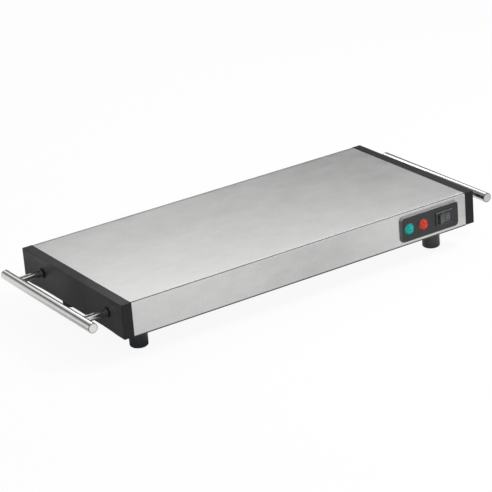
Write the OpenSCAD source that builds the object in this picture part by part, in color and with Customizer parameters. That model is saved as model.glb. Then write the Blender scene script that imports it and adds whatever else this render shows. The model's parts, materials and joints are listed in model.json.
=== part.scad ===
// Electric food warmer tray: a low folded steel box with a flat warming surface,
// black end caps with bar handles, four rubber feet, and a control plate with two
// pilot lamps and a rocker switch. The origin is on the table under the middle.

/* [Cover] */
// Length of the folded steel cover
cover_len = 400; // [390:5:440]
// Depth of the cover from front to back
cover_w = 195; // [190:1:220]
// Height of the cover from its lower edge to the warming surface
cover_h = 36; // [34:0.5:42]
// Thickness of the steel sheet of the cover
sheet_t = 0.8; // [0.6:0.1:1]
// Outer radius of the two long folds at the top
fold_r = 1.7; // [1.4:0.1:3.5]
// Outer radius of the two long folds at the lower edge
hem_r = 1.4; // [1.1:0.1:1.8]
// Width of the flange turned in under the front and the back
flange_w = 14; // [12:0.5:16]

/* [Bottom plate] */
// Thickness of the bottom plate
plate_t = 0.8; // [0.6:0.1:1.2]
// Distance of the bottom plate's screws from the middle, to the left
plate_screw_x = 95; // [80:1:110]
// Shank diameter of the bottom plate's screws
plate_screw_d = 3.5; // [3:0.1:4]
// Head diameter of the bottom plate's screws
plate_head_d = 7.6; // [7:0.1:8.5]
// Head height of the bottom plate's screws
plate_head_h = 2.4; // [2:0.1:2.8]

/* [Feet] */
// Height of a foot under the cover's lower edge
foot_h = 25.5; // [20:0.5:32]
// Diameter of a foot
foot_d = 18.5; // [17:0.5:22]
// Bevel around the underside of a foot
foot_bevel = 1.2; // [0.8:0.1:2]
// Centre of a foot from the end of the cover
foot_from_end = 21.5; // [21:0.5:26]
// Centre of a foot from the front or back of the cover
foot_from_side = 32; // [28:1:40]
// Shank diameter of a foot's screw
foot_screw_d = 4; // [3.5:0.1:4.5]
// Depth of the recess for the screw in the foot's underside
foot_recess = 12; // [8:0.5:14]

/* [End caps] */
// Thickness of an end cap outside the cover
cap_t = 11; // [10:0.5:15]
// Wall thickness of an end cap at its sides
cap_wall = 2.6; // [2:0.1:3]
// Lower edge of an end cap over the lower edge of the cover
cap_rise = 0.8; // [0.2:0.1:1]
// Wall left behind the deepest part of the dished outer face
cap_face_wall = 3; // [2.5:0.1:3.5]
// Radius on the outer edges of an end cap
cap_edge_r = 0.8; // [0.5:0.1:1.5]
// Depth of the shallow dish in the outer face
dish_depth = 2.6; // [1.5:0.1:3]
// Radius of the dish seen from the front
dish_r = 99; // [90:1:120]
// Length of the straight middle of the dish
dish_flat = 100; // [80:1:120]
// Height of the deepest line of the dish over the cover's lower edge
dish_rise = 14.5; // [12:0.5:16]
// Depth of the plug that enters the cover
plug_depth = 11; // [10:0.5:11.5]
// Clearance around the plug
plug_gap = 0.3; // [0.2:0.05:0.5]
// Wall of the plug
plug_wall = 2.4; // [2:0.1:2.8]

/* [Handles] */
// Diameter of a handle bar
bar_d = 10; // [8:0.5:12]
// Length of a handle bar
bar_len = 175; // [160:1:185]
// Axis of a handle bar outside the end cap
bar_out = 26.5; // [24:0.5:34]
// Bevel at the ends of a handle bar
bar_bevel = 0.5; // [0.3:0.1:0.8]
// Distance between the two posts of a handle
post_pitch = 128; // [120:1:132]
// Diameter of a handle post
post_d = 7; // [6.5:0.1:8]
// Diameter of the collar at the foot of a post
collar_d = 10.4; // [9.5:0.1:12]
// Thickness of the collar
collar_t = 2; // [1.5:0.1:2.5]
// Shank diameter of a handle screw
handle_screw_d = 4; // [3.5:0.1:4.5]
// Length of a handle screw inside its post
handle_screw_grip = 10; // [8:0.5:12]
// Thickness of the stiffening plate behind a handle
stiff_t = 2; // [1.5:0.1:2.2]

/* [Control plate] */
// Length of the control plate
ctrl_len = 74.4; // [68:0.2:76]
// Cover left free above and under the control plate, on average
ctrl_margin = 4; // [3:0.1:4.5]
// How far the control plate stands out from the cover
ctrl_t = 2.6; // [2.2:0.1:3.4]
// Bevel around the face of the control plate
ctrl_bevel = 1.4; // [1:0.1:1.8]
// Corner radius of the control plate
ctrl_r = 4.8; // [3.5:0.1:6]
// Right end of the control plate from the right end of the cover
ctrl_from_end = 10.4; // [10:0.2:20]
// Middle of the control plate over the middle of the cover's height
ctrl_up = 0.5; // [0:0.1:1]
// Green lamp from the left end of the control plate
green_from_left = 10; // [9.8:0.1:11]
// Distance between the two pilot lamps
lamp_pitch = 17.8; // [16:0.1:18.5]
// Middle of the switch from the right end of the control plate
switch_from_right = 19.6; // [18:0.1:21]

/* [Pilot lamps] */
// Outer diameter of a lamp lens
lens_d = 12.6; // [11.6:0.1:13.4]
// Thickness of the rim of a lens
lens_rim_t = 0.8; // [0.6:0.1:1.2]
// Height of the domed part of a lens
dome_h = 2.6; // [2:0.1:3.5]
// Diameter of the stem behind a lens
stem_d = 9.8; // [9:0.1:10.2]
// Length of the lamp holder behind the control plate
holder_len = 14; // [12:0.5:16]
// Wall of the lamp holder around the stem
holder_wall = 1.2; // [1:0.1:1.4]
// Diameter of the neon bulb
bulb_d = 5; // [4:0.1:5.6]

/* [Rocker switch] */
// Lip of the bezel beyond the switch body, all round
bezel_lip = 1.3; // [1:0.1:1.6]
// How far the bezel stands out from the control plate
bezel_t = 1.5; // [1.2:0.1:2]
// Length of the opening in the bezel
rocker_slot = 17; // [16.6:0.1:17.2]
// Height of the rocker
rocker_w = 10.2; // [9.6:0.1:10.4]
// Half of the angle that the rocker travels
rocker_tilt = 9; // [8:0.5:11]
// Depth of the switch body behind the control plate's face
switch_depth = 17; // [16.5:0.1:19]
// Diameter of the rocker's pivot pins
pivot_d = 3; // [2.6:0.1:3.2]

/* [Power inlet] */
// Middle of the inlet from the right end of the cover
inlet_from_end = 55; // [50:1:62]
// Flange of the inlet beyond each of its screws
inlet_flange_over = 5; // [4.5:0.1:6]
// Height of the inlet's flange
inlet_flange_w = 22.6; // [22:0.1:24]
// Thickness of the inlet's flange
inlet_flange_t = 2.5; // [2:0.1:3]
// Depth of the inlet's body behind the flange
inlet_depth = 17; // [16:0.5:18]
// Distance between the two inlet screws
inlet_pitch = 40; // [39:0.2:41]
// Shank diameter of the inlet screws
inlet_screw_d = 3; // [2.5:0.1:3.4]
// Head height of the inlet screws
inlet_head_h = 1.6; // [1.2:0.1:2]

/* [Heating stack] */
// Heat spreader's end from the plug of an end cap
spread_gap = 7; // [3:0.5:12]
// Heat spreader's long edge from the tails of the inlet's pins
spread_side = 2.5; // [1:0.5:6]
// Thickness of the aluminium heat spreader
spread_t = 1.5; // [1:0.1:2]
// Thickness of the heating element
element_t = 1; // [0.8:0.1:1.4]
// Thickness of the insulation
insulation_t = 5; // [4:0.1:5.5]
// Thickness of the clamp plate
clamp_t = 1; // [0.8:0.1:1.5]
// Diameter of the weld studs
stud_d = 4; // [3.5:0.1:4.5]
// Outer studs from the ends of the heat spreader
stud_from_end = 24; // [15:1:35]
// Studs from the long edges of the heat spreader
stud_from_side = 15; // [12:1:20]
// Diameter of the thermostat
thermostat_d = 16; // [15:0.1:17]
// Thermostat to the right of the middle
thermostat_x = 70; // [66:1:74]
// Outer diameter of an inner lead
lead_d = 2.4; // [2:0.1:2.8]

/* [Hidden] */

// One overrun for every cut, and the clearances that several pieces share
overrun = 1;
free_gap = 0.3;
fit_gap = 0.05;
fine = 96;
fine_dish = 400;

// Colours
steel = [0.80, 0.80, 0.79];
black = [0.17, 0.17, 0.18];
rubber = [0.13, 0.13, 0.14];
zinc = [0.66, 0.67, 0.69];
brass = [0.78, 0.64, 0.34];
white = [0.90, 0.89, 0.85];

// Main faces
x_end = cover_len / 2;
x_out = x_end + cap_t;
y_side = cover_w / 2;
z_low = foot_h;
z_top = foot_h + cover_h;
z_mid = foot_h + cover_h / 2;
z_in = z_top - sheet_t;
z_plate = z_low + sheet_t;
z_floor = z_plate + plate_t;

// The front and the back stand out unequally, and this centres the whole part
lens_reach = ctrl_t + lens_rim_t + dome_h;
valley = 2.4;
pivot_drop = 2.6;
pivot_w = ctrl_t + bezel_t - pivot_drop;
rocker_half = (rocker_slot / 2 - free_gap - valley * sin(rocker_tilt)) * cos(rocker_tilt);
rocker_rise = rocker_half * tan(rocker_tilt);
rocker_reach = pivot_w + (valley + rocker_rise) * cos(rocker_tilt) + rocker_half * sin(rocker_tilt);
front_reach = max(lens_reach, rocker_reach);
back_reach = inlet_flange_t + inlet_head_h;
frame_y = (front_reach - back_reach) / 2;

// Screws and nuts: shares of the head or of the shank
dome_share = 0.6;
cross_len_share = 0.6;
cross_w_share = 0.15;
cross_deep_share = 0.5;
nut_flat_share = 1.75;
nut_height_share = 0.8;

// Bottom plate
plate_end_gap = 0.5;
plate_side_gap = 0.8;
plate_len = cover_len - 2 * plate_end_gap;
plate_w = cover_w - 2 * (sheet_t + plate_side_gap);
plate_screw_y = y_side - flange_w / 2;
plate_screw_len = 6;

// Feet
foot_x = x_end - foot_from_end;
foot_y = y_side - foot_from_side;
foot_head_d = 7.6;
foot_head_h = 2.6;
foot_washer_d = 9;
foot_washer_t = 1;
foot_recess_d = 10;
foot_thread_out = 1;

// End caps
z_cap = z_low + cap_rise;
cap_h = cover_h - cap_rise;
plug_low = z_floor + plug_gap;
plug_high = z_in - plug_gap;
plug_side = y_side - sheet_t - plug_gap;
plug_root = 1.6;
plug_r = fold_r - sheet_t + plug_gap;
cap_inner_x = x_out - dish_depth - cap_face_wall;
dish_rim = 1.5;
dish_end = y_side - dish_rim - dish_flat / 2;
dish_end_r = (dish_end * dish_end + dish_depth * dish_depth) / (2 * dish_depth);
cap_screw_d = 3.5;
cap_screw_len = 13;
cap_head_d = 7;
cap_head_h = 2.2;
cap_screw_x = x_end - plug_depth / 2;
cap_screw_y = y_side - flange_w - cap_head_d;
cap_boss_w = 8;
cap_boss_h = 15;

// Handles
post_y = post_pitch / 2;
bar_x = x_out + bar_out;
seat_cut = 0.2;
seat_x = x_out - dish_depth - seat_cut;
post_x = seat_x + collar_t;
stiff_x = cap_inner_x - stiff_t;
stiff_over = 14;
stiff_w = 20;
spigot_d = 4;
spigot_len = 3.5;
handle_head_d = 8;
handle_head_h = 2.6;

// Control plate
ctrl_w = cover_h - 2 * ctrl_margin;
ctrl_x = x_end - ctrl_from_end - ctrl_len / 2;
ctrl_z = z_mid + ctrl_up;
green_x = ctrl_x - ctrl_len / 2 + green_from_left;
red_x = green_x + lamp_pitch;
switch_x = ctrl_x + ctrl_len / 2 - switch_from_right;
rim_inset = 2;
rim_r = 2.5;
rim_wall = 1.2;
rim_depth = 3.2;
hook_out = 0.9;
hook_w = 8;
hook_t = 1.4;

// Pilot lamps
lens_lip = 0.4;
stem_wall = 1.2;
stem_back = 6;
holder_d = stem_d + 2 * holder_wall;
holder_end = 2;
bulb_len = 13;
wire_d = 0.8;
wire_pitch = 3;
wire_out = 3.5;

// Rocker switch: u runs to the right, w outwards from the rocker's pivot
body_end_wall = 0.9;
body_side_wall = 1;
bezel_r = 1.2;
bezel_bevel = 0.6;
side_gap = 0.2;
body_len = rocker_slot + 2 * body_end_wall;
body_w = rocker_w + 2 * side_gap + 2 * body_side_wall;
body_r = 0.5;
bezel_len = body_len + 2 * bezel_lip;
bezel_w = body_w + 2 * bezel_lip;
waist_up = 1;
waist_out = 0.15;
skirt_down = 1.6;
skirt_in = 0.6;
pin_out = 0.9;
nose_r = 1.1;
nose_drop = 4.3;
nose_w = 3;
contact_t = 0.8;
contact_half = 5.6;
contact_w = 4;
contact_ratio = 0.5;
contact_top = nose_drop + nose_r + free_gap;
contact_pivot = contact_top + contact_t;
contact_tilt = rocker_tilt * contact_ratio;
cavity_down = contact_pivot + 1.6;
blade_t = 0.8;
blade_w = 4.8;
blade_out = 7.5;
throw_u = 4.6;
throw_drop = contact_half * sin(contact_tilt) + free_gap;

// Power inlet
inlet_x = x_end - inlet_from_end;
inlet_flange_len = inlet_pitch + 2 * inlet_flange_over;
inlet_len = 27;
inlet_w = 19.6;
inlet_r = 1;
inlet_flange_r = 3;
inlet_bevel = 0.8;
socket_len = 24.2;
socket_w = 16.2;
socket_deep = 13;
socket_cut = 4;
pin_pitch = 14;
pin_low = 2;
pin_high = 4;
pin_w = 2;
pin_h = 4;
pin_reach = 10;
pin_tail = 5;
inlet_head_d = 5.6;
inlet_screw_len = 9;

// Heating stack, from the cover's underside down
z_element = z_in - spread_t;
z_insulation = z_element - element_t;
z_clamp = z_insulation - insulation_t;
z_stack = z_clamp - clamp_t;
spread_len = cover_len - 2 * (plug_depth + spread_gap);
spread_w = cover_w - 2 * (inlet_depth + pin_tail + spread_side);
stud_x = spread_len / 2 - stud_from_end;
stud_y = spread_w / 2 - stud_from_side;
element_edge = 3;
clamp_fold = 3;
stud_places = [for (x = [-1, 0, 1], y = [-1, 1]) [x * stud_x, y * stud_y]];
stud_thread_out = 1.2;
tab_x = 20;
tab_y = 12;
tab_d = 4;
tab_drop = 5;
tab_window = 10;
thermostat_neck = 2;
thermostat_drop = 4.6;
spade_w = 5;
spade_t = 0.8;
spade_out = 6.5;
bracket_t = 0.8;
bracket_over = 5;
bracket_screw_gap = 7;
bracket_screw_x = thermostat_d / 2 + bracket_screw_gap;
bracket_len = 2 * (bracket_screw_x + bracket_over);
bracket_w = thermostat_d + thermostat_neck;
bracket_screw_d = 3;
bracket_screw_len = 4;
bracket_head_d = 5.6;
bracket_head_h = 1.8;
fuse_d = 4;
fuse_len = 12;
fuse_wire = 6;
fuse_gap = 13;
fuse_y = 24;

// Terminal block and earth stud on the bottom plate
block_from_lamp = 20.2;
block_from_front = 67.5;
block_x = green_x - block_from_lamp;
block_y = block_from_front - y_side;
block_len = 22;
block_w = 16;
block_h = 12;
block_screw_d = 4;
block_screw_h = 1.2;
earth_from_back = 57.5;
earth_y = y_side - earth_from_back;
earth_d = 4;
earth_h = 8;
ring_d = 8.4;
ring_t = 0.8;

// Inner leads
lead_sides = 8;
lead_bend = 4;
z_lead = z_floor + 3;
z_over = z_lead + 2 * lead_d;
z_spade = z_stack - thermostat_drop + spade_t;
switch_back_y = switch_depth - ctrl_t - y_side;
blade_end_y = -(y_side + ctrl_t - switch_depth - blade_out);
tail_y = y_side - inlet_depth - pin_tail - free_gap;
trunk_in = 13;
feed_from_front = 47.5;
switched_from_front = 37.5;
feed_y = feed_from_front - y_side;
switched_y = switched_from_front - y_side;
lamp_bus = 4;

// Outlines

module round_rect(w, h, r) {
    for (x = [-1, 1], y = [-1, 1])
        translate([x * (w / 2 - r), y * (h / 2 - r)]) circle(r, $fn = fine);
    square([w - 2 * r, h], center = true);
    square([w, h - 2 * r], center = true);
}

module round_box(w, h, r_low, r_high) {
    for (x = [-1, 1]) {
        translate([x * (w / 2 - r_low), r_low]) circle(r_low, $fn = fine);
        translate([x * (w / 2 - r_high), h - r_high]) circle(r_high, $fn = fine);
    }
    translate([-w / 2, r_low]) square([w, h - r_low - r_high]);
    translate([r_low - w / 2, 0]) square([w - 2 * r_low, h / 2]);
    translate([r_high - w / 2, h / 2]) square([w - 2 * r_high, h / 2]);
}

// Placing

module along_x(len) {
    rotate([90, 0, 90]) linear_extrude(len, center = true) children();
}

module along_y(len) {
    rotate([90, 0, 0]) linear_extrude(len, center = true) children();
}

module on_front(x, z) {
    translate([x, -y_side, z]) rotate([90, 0, 0]) children();
}

module on_back(x, z) {
    translate([x, y_side, z]) rotate([90, 0, 180]) children();
}

module left_side() {
    mirror([1, 0, 0]) children();
}

module in_frame() {
    translate([0, frame_y, 0]) children();
}

module slab(len, w, low, high) {
    translate([-len / 2, -w / 2, low]) cube([len, w, high - low]);
}

module post_bore(d, low, high) {
    translate([0, 0, low]) cylinder(h = high - low, d = d, $fn = fine);
}

// A rounded plate whose front edge is bevelled all round
module bevel_plate(w, h, r, t, bevel) {
    linear_extrude(t - bevel) round_rect(w, h, r);
    translate([0, 0, t - bevel]) {
        for (x = [-1, 1], y = [-1, 1])
            translate([x * (w / 2 - r), y * (h / 2 - r), 0])
                cylinder(h = bevel, r1 = r, r2 = r - bevel, $fn = fine);
        along_x(w - 2 * r)
            polygon([[-h / 2, 0], [h / 2, 0], [h / 2 - bevel, bevel], [bevel - h / 2, bevel]]);
        along_y(h - 2 * r)
            polygon([[-w / 2, 0], [w / 2, 0], [w / 2 - bevel, bevel], [bevel - w / 2, bevel]]);
    }
}

// Fasteners: the head stands on z = 0 and the shank runs down from it

module screw(d, len, head_d, head_h) {
    dome = head_h * dome_share;
    dome_r = (head_d * head_d / 4 + dome * dome) / (2 * dome);
    difference() {
        intersection() {
            cylinder(h = head_h, d = head_d, $fn = fine);
            translate([0, 0, head_h - dome_r]) sphere(dome_r, $fn = fine);
        }
        for (turn = [0, 90])
            rotate([0, 0, turn])
                slab(head_d * cross_len_share, head_d * cross_w_share,
                    head_h * (1 - cross_deep_share), head_h + overrun);
    }
    translate([0, 0, -len]) cylinder(h = len, d = d, $fn = fine);
}

module nut(d) {
    difference() {
        cylinder(h = d * nut_height_share, d = d * nut_flat_share / cos(30), $fn = 6);
        post_bore(d + 2 * fit_gap, -overrun, d * nut_height_share + overrun);
    }
}

// Cover and bottom plate

module cover_section() {
    difference() {
        round_box(cover_w, cover_h, hem_r, fold_r);
        translate([0, sheet_t])
            round_box(cover_w - 2 * sheet_t, cover_h - 2 * sheet_t, hem_r - sheet_t, fold_r - sheet_t);
        translate([flange_w - y_side, -overrun]) square([cover_w - 2 * flange_w, sheet_t + 2 * overrun]);
    }
}

module housing_cover() {
    color(steel) difference() {
        translate([0, 0, z_low]) along_x(cover_len) cover_section();
        on_front(ctrl_x, ctrl_z) translate([0, 0, -sheet_t - overrun])
            linear_extrude(sheet_t + 2 * overrun)
                round_rect(ctrl_len - 2 * rim_inset + 2 * free_gap, ctrl_w - 2 * rim_inset + 2 * free_gap, rim_r);
        on_back(inlet_x, z_mid) translate([0, 0, -sheet_t - overrun])
            linear_extrude(sheet_t + 2 * overrun)
                round_rect(inlet_len + 2 * free_gap, inlet_w + 2 * free_gap, inlet_r);
        on_back(inlet_x, z_mid) for (x = [-1, 1])
            translate([x * inlet_pitch / 2, 0, 0])
                post_bore(inlet_screw_d + 2 * fit_gap, -sheet_t - overrun, overrun);
        plate_screw_places() post_bore(plate_screw_d + 2 * fit_gap, z_low - overrun, z_plate + overrun);
    }
}

module plate_screw_places() {
    for (y = [-1, 1])
        translate([-plate_screw_x, y * plate_screw_y, 0]) children();
}

module foot_places() {
    for (x = [-1, 1], y = [-1, 1])
        translate([x * foot_x, y * foot_y, 0]) children();
}

module cap_screw_places() {
    for (x = [-1, 1], y = [-1, 1])
        translate([x * cap_screw_x, y * cap_screw_y, 0]) children();
}

module bottom_plate() {
    color(zinc) difference() {
        slab(plate_len, plate_w, z_plate, z_floor);
        plate_screw_places() post_bore(plate_screw_d + 2 * fit_gap, z_plate - overrun, z_floor + overrun);
        foot_places() post_bore(foot_screw_d + 2 * fit_gap, z_plate - overrun, z_floor + overrun);
        cap_screw_places() post_bore(cap_screw_d + 2 * fit_gap, z_plate - overrun, z_floor + overrun);
    }
}

module bottom_plate_screws() {
    color(zinc) plate_screw_places()
        translate([0, 0, z_low]) rotate([180, 0, 0])
            screw(plate_screw_d, plate_screw_len, plate_head_d, plate_head_h);
}

// Feet

module foot() {
    color(rubber) difference() {
        rotate_extrude($fn = fine) polygon([
            [0, 0], [foot_d / 2 - foot_bevel, 0], [foot_d / 2, foot_bevel], [foot_d / 2, z_plate], [0, z_plate]
        ]);
        post_bore(foot_recess_d, -overrun, foot_recess);
        post_bore(foot_screw_d + 2 * fit_gap, foot_recess - overrun, z_plate + overrun);
    }
}

module front_left_foot() {
    translate([-foot_x, -foot_y, 0]) foot();
}

module front_right_foot() {
    translate([foot_x, -foot_y, 0]) foot();
}

module back_left_foot() {
    translate([-foot_x, foot_y, 0]) foot();
}

module back_right_foot() {
    translate([foot_x, foot_y, 0]) foot();
}

module foot_screws() {
    seat = foot_recess - foot_washer_t;
    top = z_floor + foot_screw_d * nut_height_share + foot_thread_out;
    color(zinc) foot_places()
        translate([0, 0, seat]) rotate([180, 0, 0])
            screw(foot_screw_d, top - seat, foot_head_d, foot_head_h);
}

module foot_washers() {
    color(zinc) foot_places() difference() {
        post_bore(foot_washer_d, foot_recess - foot_washer_t, foot_recess);
        post_bore(foot_screw_d + 2 * fit_gap, foot_recess - foot_washer_t - overrun, foot_recess + overrun);
    }
}

module foot_nuts() {
    color(zinc) foot_places() translate([0, 0, z_floor]) nut(foot_screw_d);
}

// End caps: the right one is drawn, and the left one is its mirror image

module cap_block() {
    intersection() {
        translate([x_end + cap_t / 2, 0, z_cap])
            along_x(cap_t) round_box(cover_w, cap_h, cap_edge_r, cap_edge_r);
        translate([0, 0, z_low]) linear_extrude(cover_h) round_rect(2 * x_out, cover_w, cap_edge_r);
        translate([0, 0, z_cap + cap_h / 2]) along_y(cover_w) round_rect(2 * x_out, cap_h, cap_edge_r);
    }
}

module cap_dish() {
    z = z_low + dish_rise;
    face = x_out - dish_depth;
    along_y(dish_flat) translate([face + dish_r, z]) circle(dish_r, $fn = fine_dish);
    for (y = [-1, 1])
        translate([face + dish_end_r, y * dish_flat / 2, z])
            rotate_extrude($fn = fine_dish) intersection() {
                translate([dish_end_r - dish_r, 0]) circle(dish_r, $fn = fine_dish);
                translate([dish_end_r - cap_t, -cover_h]) square([2 * cap_t, 2 * cover_h]);
            }
}

module cap_plug() {
    len = plug_depth + plug_root;
    h = plug_high - plug_low;
    translate([x_end + plug_root - len / 2, 0, plug_low + h / 2]) difference() {
        along_x(len) round_rect(2 * plug_side, h, plug_r);
        along_x(len + 2 * overrun)
            square([2 * (plug_side - plug_wall), h - 2 * plug_wall], center = true);
    }
    for (y = [-1, 1])
        translate([cap_screw_x, y * cap_screw_y, 0]) slab(cap_boss_w, cap_boss_w, plug_low, plug_low + cap_boss_h);
}

module post_places(x) {
    for (y = [-1, 1])
        translate([x, y * post_y, z_mid]) rotate([0, 90, 0]) children();
}

module end_cap() {
    color(black) difference() {
        union() {
            difference() {
                cap_block();
                translate([x_end - overrun, cap_wall - y_side, z_cap + cap_wall])
                    cube([
                        cap_inner_x - x_end + overrun,
                        cover_w - 2 * cap_wall,
                        cap_h - 2 * cap_wall
                    ]);
                cap_dish();
            }
            cap_plug();
        }
        post_places(seat_x) cylinder(h = cap_t, d = collar_d + 2 * free_gap, $fn = fine);
        post_places(x_end) cylinder(h = 2 * cap_t, d = handle_screw_d + 2 * fit_gap, $fn = fine);
        for (y = [-1, 1])
            translate([cap_screw_x, y * cap_screw_y, 0])
                post_bore(cap_screw_d + 2 * fit_gap, plug_low - overrun, z_plate + cap_screw_len + free_gap);
    }
}

module left_end_cap() {
    left_side() end_cap();
}

module right_end_cap() {
    end_cap();
}

module end_cap_screws() {
    color(zinc) cap_screw_places()
        translate([0, 0, z_plate]) rotate([180, 0, 0])
            screw(cap_screw_d, cap_screw_len, cap_head_d, cap_head_h);
}

// Handles

module handle_bar() {
    r = bar_d / 2;
    half = bar_len / 2;
    color(steel) difference() {
        translate([bar_x, 0, z_mid]) rotate([90, 0, 0]) rotate_extrude($fn = fine) polygon([
            [0, -half], [r - bar_bevel, -half], [r, bar_bevel - half],
            [r, half - bar_bevel], [r - bar_bevel, half], [0, half]
        ]);
        post_places(bar_x - r - overrun)
            cylinder(h = overrun + spigot_len + free_gap, d = spigot_d + 2 * fit_gap, $fn = fine);
    }
}

module handle_post(side) {
    translate([0, side * post_y, z_mid]) rotate([0, 90, 0]) color(steel) difference() {
        union() {
            difference() {
                post_bore(post_d, post_x, bar_x);
                translate([0, 0, bar_x]) rotate([90, 0, 0])
                    cylinder(h = 2 * post_d, d = bar_d + 2 * fit_gap, center = true, $fn = fine);
            }
            post_bore(spigot_d, bar_x - bar_d / 2 - overrun, bar_x - bar_d / 2 + spigot_len);
        }
        post_bore(handle_screw_d + 2 * fit_gap, post_x - overrun, post_x + handle_screw_grip + free_gap);
    }
}

module handle_collars() {
    color(black) post_places(seat_x) difference() {
        cylinder(h = collar_t, d = collar_d, $fn = fine);
        post_bore(handle_screw_d + 2 * fit_gap, -overrun, collar_t + overrun);
    }
}

module stiffening_plate() {
    color(zinc) difference() {
        translate([stiff_x, -post_y - stiff_over, z_mid - stiff_w / 2])
            cube([stiff_t, post_pitch + 2 * stiff_over, stiff_w]);
        post_places(stiff_x - overrun)
            cylinder(h = stiff_t + 2 * overrun, d = handle_screw_d + 2 * fit_gap, $fn = fine);
    }
}

module handle_screw_pair() {
    for (y = [-1, 1])
        translate([stiff_x, y * post_y, z_mid]) rotate([0, -90, 0])
            screw(handle_screw_d, post_x + handle_screw_grip - stiff_x, handle_head_d, handle_head_h);
}

module left_handle_bar() {
    left_side() handle_bar();
}

module right_handle_bar() {
    handle_bar();
}

module left_front_handle_post() {
    left_side() handle_post(-1);
}

module left_back_handle_post() {
    left_side() handle_post(1);
}

module right_front_handle_post() {
    handle_post(-1);
}

module right_back_handle_post() {
    handle_post(1);
}

module left_handle_collars() {
    left_side() handle_collars();
}

module right_handle_collars() {
    handle_collars();
}

module left_stiffening_plate() {
    left_side() stiffening_plate();
}

module right_stiffening_plate() {
    stiffening_plate();
}

module handle_screws() {
    color(zinc) {
        handle_screw_pair();
        left_side() handle_screw_pair();
    }
}

// Control plate and pilot lamps

module control_plate() {
    rim_len = ctrl_len - 2 * rim_inset;
    rim_w = ctrl_w - 2 * rim_inset;
    color(black) on_front(ctrl_x, ctrl_z) difference() {
        union() {
            bevel_plate(ctrl_len, ctrl_w, ctrl_r, ctrl_t, ctrl_bevel);
            difference() {
                translate([0, 0, -sheet_t - rim_depth])
                    linear_extrude(sheet_t + rim_depth + overrun) round_rect(rim_len, rim_w, rim_r);
                slab(rim_len - 2 * rim_wall, rim_w - 2 * rim_wall, -sheet_t - rim_depth - overrun, 0);
            }
            slab(rim_len + 2 * hook_out, hook_w, -sheet_t - free_gap - hook_t, -sheet_t - free_gap);
        }
        slab(rim_len - 2 * rim_wall, rim_w - 2 * rim_wall, -sheet_t - rim_depth - overrun, 0);
        for (x = [green_x, red_x])
            translate([x - ctrl_x, 0, 0]) post_bore(stem_d + 2 * fit_gap, -overrun, ctrl_t + overrun);
        translate([switch_x - ctrl_x, 0, -overrun])
            linear_extrude(ctrl_t + 2 * overrun) round_rect(body_len + 2 * fit_gap, body_w + 2 * fit_gap, body_r);
    }
}

module lamp_lens(x, tint) {
    dome_d = lens_d - 2 * lens_lip;
    dome_r = (dome_d * dome_d / 4 + dome_h * dome_h) / (2 * dome_h);
    color(tint) on_front(x, ctrl_z) difference() {
        union() {
            post_bore(lens_d, ctrl_t, ctrl_t + lens_rim_t);
            translate([0, 0, ctrl_t + lens_rim_t]) intersection() {
                translate([0, 0, dome_h - dome_r]) sphere(dome_r, $fn = fine);
                cylinder(h = dome_h, d = dome_d, $fn = fine);
            }
            post_bore(stem_d, -stem_back, ctrl_t + lens_rim_t);
        }
        post_bore(stem_d - 2 * stem_wall, -stem_back - overrun, ctrl_t);
    }
}

module lamp_holder(x) {
    color(white) on_front(x, ctrl_z) difference() {
        post_bore(holder_d, -holder_len, 0);
        post_bore(stem_d + 2 * fit_gap, -stem_back - free_gap, overrun);
        post_bore(bulb_d + 2 * free_gap, holder_end - holder_len, overrun);
        for (side = [-1, 1])
            translate([side * wire_pitch / 2, 0, 0])
                post_bore(wire_d + 2 * fit_gap, -holder_len - overrun, overrun);
    }
}

module neon_bulb(x) {
    low = holder_end + free_gap - holder_len;
    top = low + bulb_len - bulb_d / 2;
    color("orange") on_front(x, ctrl_z) {
        post_bore(bulb_d, low, top);
        translate([0, 0, top]) sphere(d = bulb_d, $fn = fine);
        for (side = [-1, 1])
            translate([side * wire_pitch / 2, 0, 0]) post_bore(wire_d, -holder_len - wire_out, low + overrun);
    }
}

module green_lamp_lens() {
    lamp_lens(green_x, [0.10, 0.66, 0.60]);
}

module red_lamp_lens() {
    lamp_lens(red_x, [0.80, 0.25, 0.16]);
}

module green_lamp_holder() {
    lamp_holder(green_x);
}

module red_lamp_holder() {
    lamp_holder(red_x);
}

module green_neon_bulb() {
    neon_bulb(green_x);
}

module red_neon_bulb() {
    neon_bulb(red_x);
}

// Rocker switch

module at_pivot(drop, tilt) {
    on_front(switch_x, ctrl_z) translate([0, 0, pivot_w - drop]) rotate([0, tilt, 0]) children();
}

module switch_body() {
    color(black) on_front(switch_x, ctrl_z) difference() {
        union() {
            translate([0, 0, ctrl_t]) bevel_plate(bezel_len, bezel_w, bezel_r, bezel_t, bezel_bevel);
            translate([0, 0, ctrl_t - switch_depth])
                linear_extrude(switch_depth + bezel_t / 2) round_rect(body_len, body_w, body_r);
        }
        slab(rocker_slot, rocker_w + 2 * side_gap, pivot_w - cavity_down, ctrl_t + bezel_t + overrun);
        translate([0, 0, pivot_w]) rotate([90, 0, 0])
            cylinder(h = body_w + 2 * overrun, d = pivot_d + 2 * fit_gap, center = true, $fn = fine);
        for (u = [0, throw_u])
            translate([u, 0, 0])
                slab(blade_t + 2 * fit_gap, blade_w + 2 * fit_gap, ctrl_t - switch_depth - overrun, pivot_w);
    }
}

module switch_rocker() {
    color(black) at_pivot(0, rocker_tilt) {
        along_y(rocker_w) polygon([
            [-rocker_half, valley + rocker_rise], [0, valley], [rocker_half, valley + rocker_rise],
            [rocker_half + waist_out, waist_up], [rocker_half - skirt_in, -skirt_down],
            [skirt_in - rocker_half, -skirt_down], [-rocker_half - waist_out, waist_up]
        ]);
        rotate([90, 0, 0])
            cylinder(h = rocker_w + 2 * pin_out, d = pivot_d, center = true, $fn = fine);
        along_y(nose_w) {
            translate([-nose_r, -nose_drop]) square([2 * nose_r, nose_drop]);
            translate([0, -nose_drop]) circle(nose_r, $fn = fine);
        }
    }
}

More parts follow.
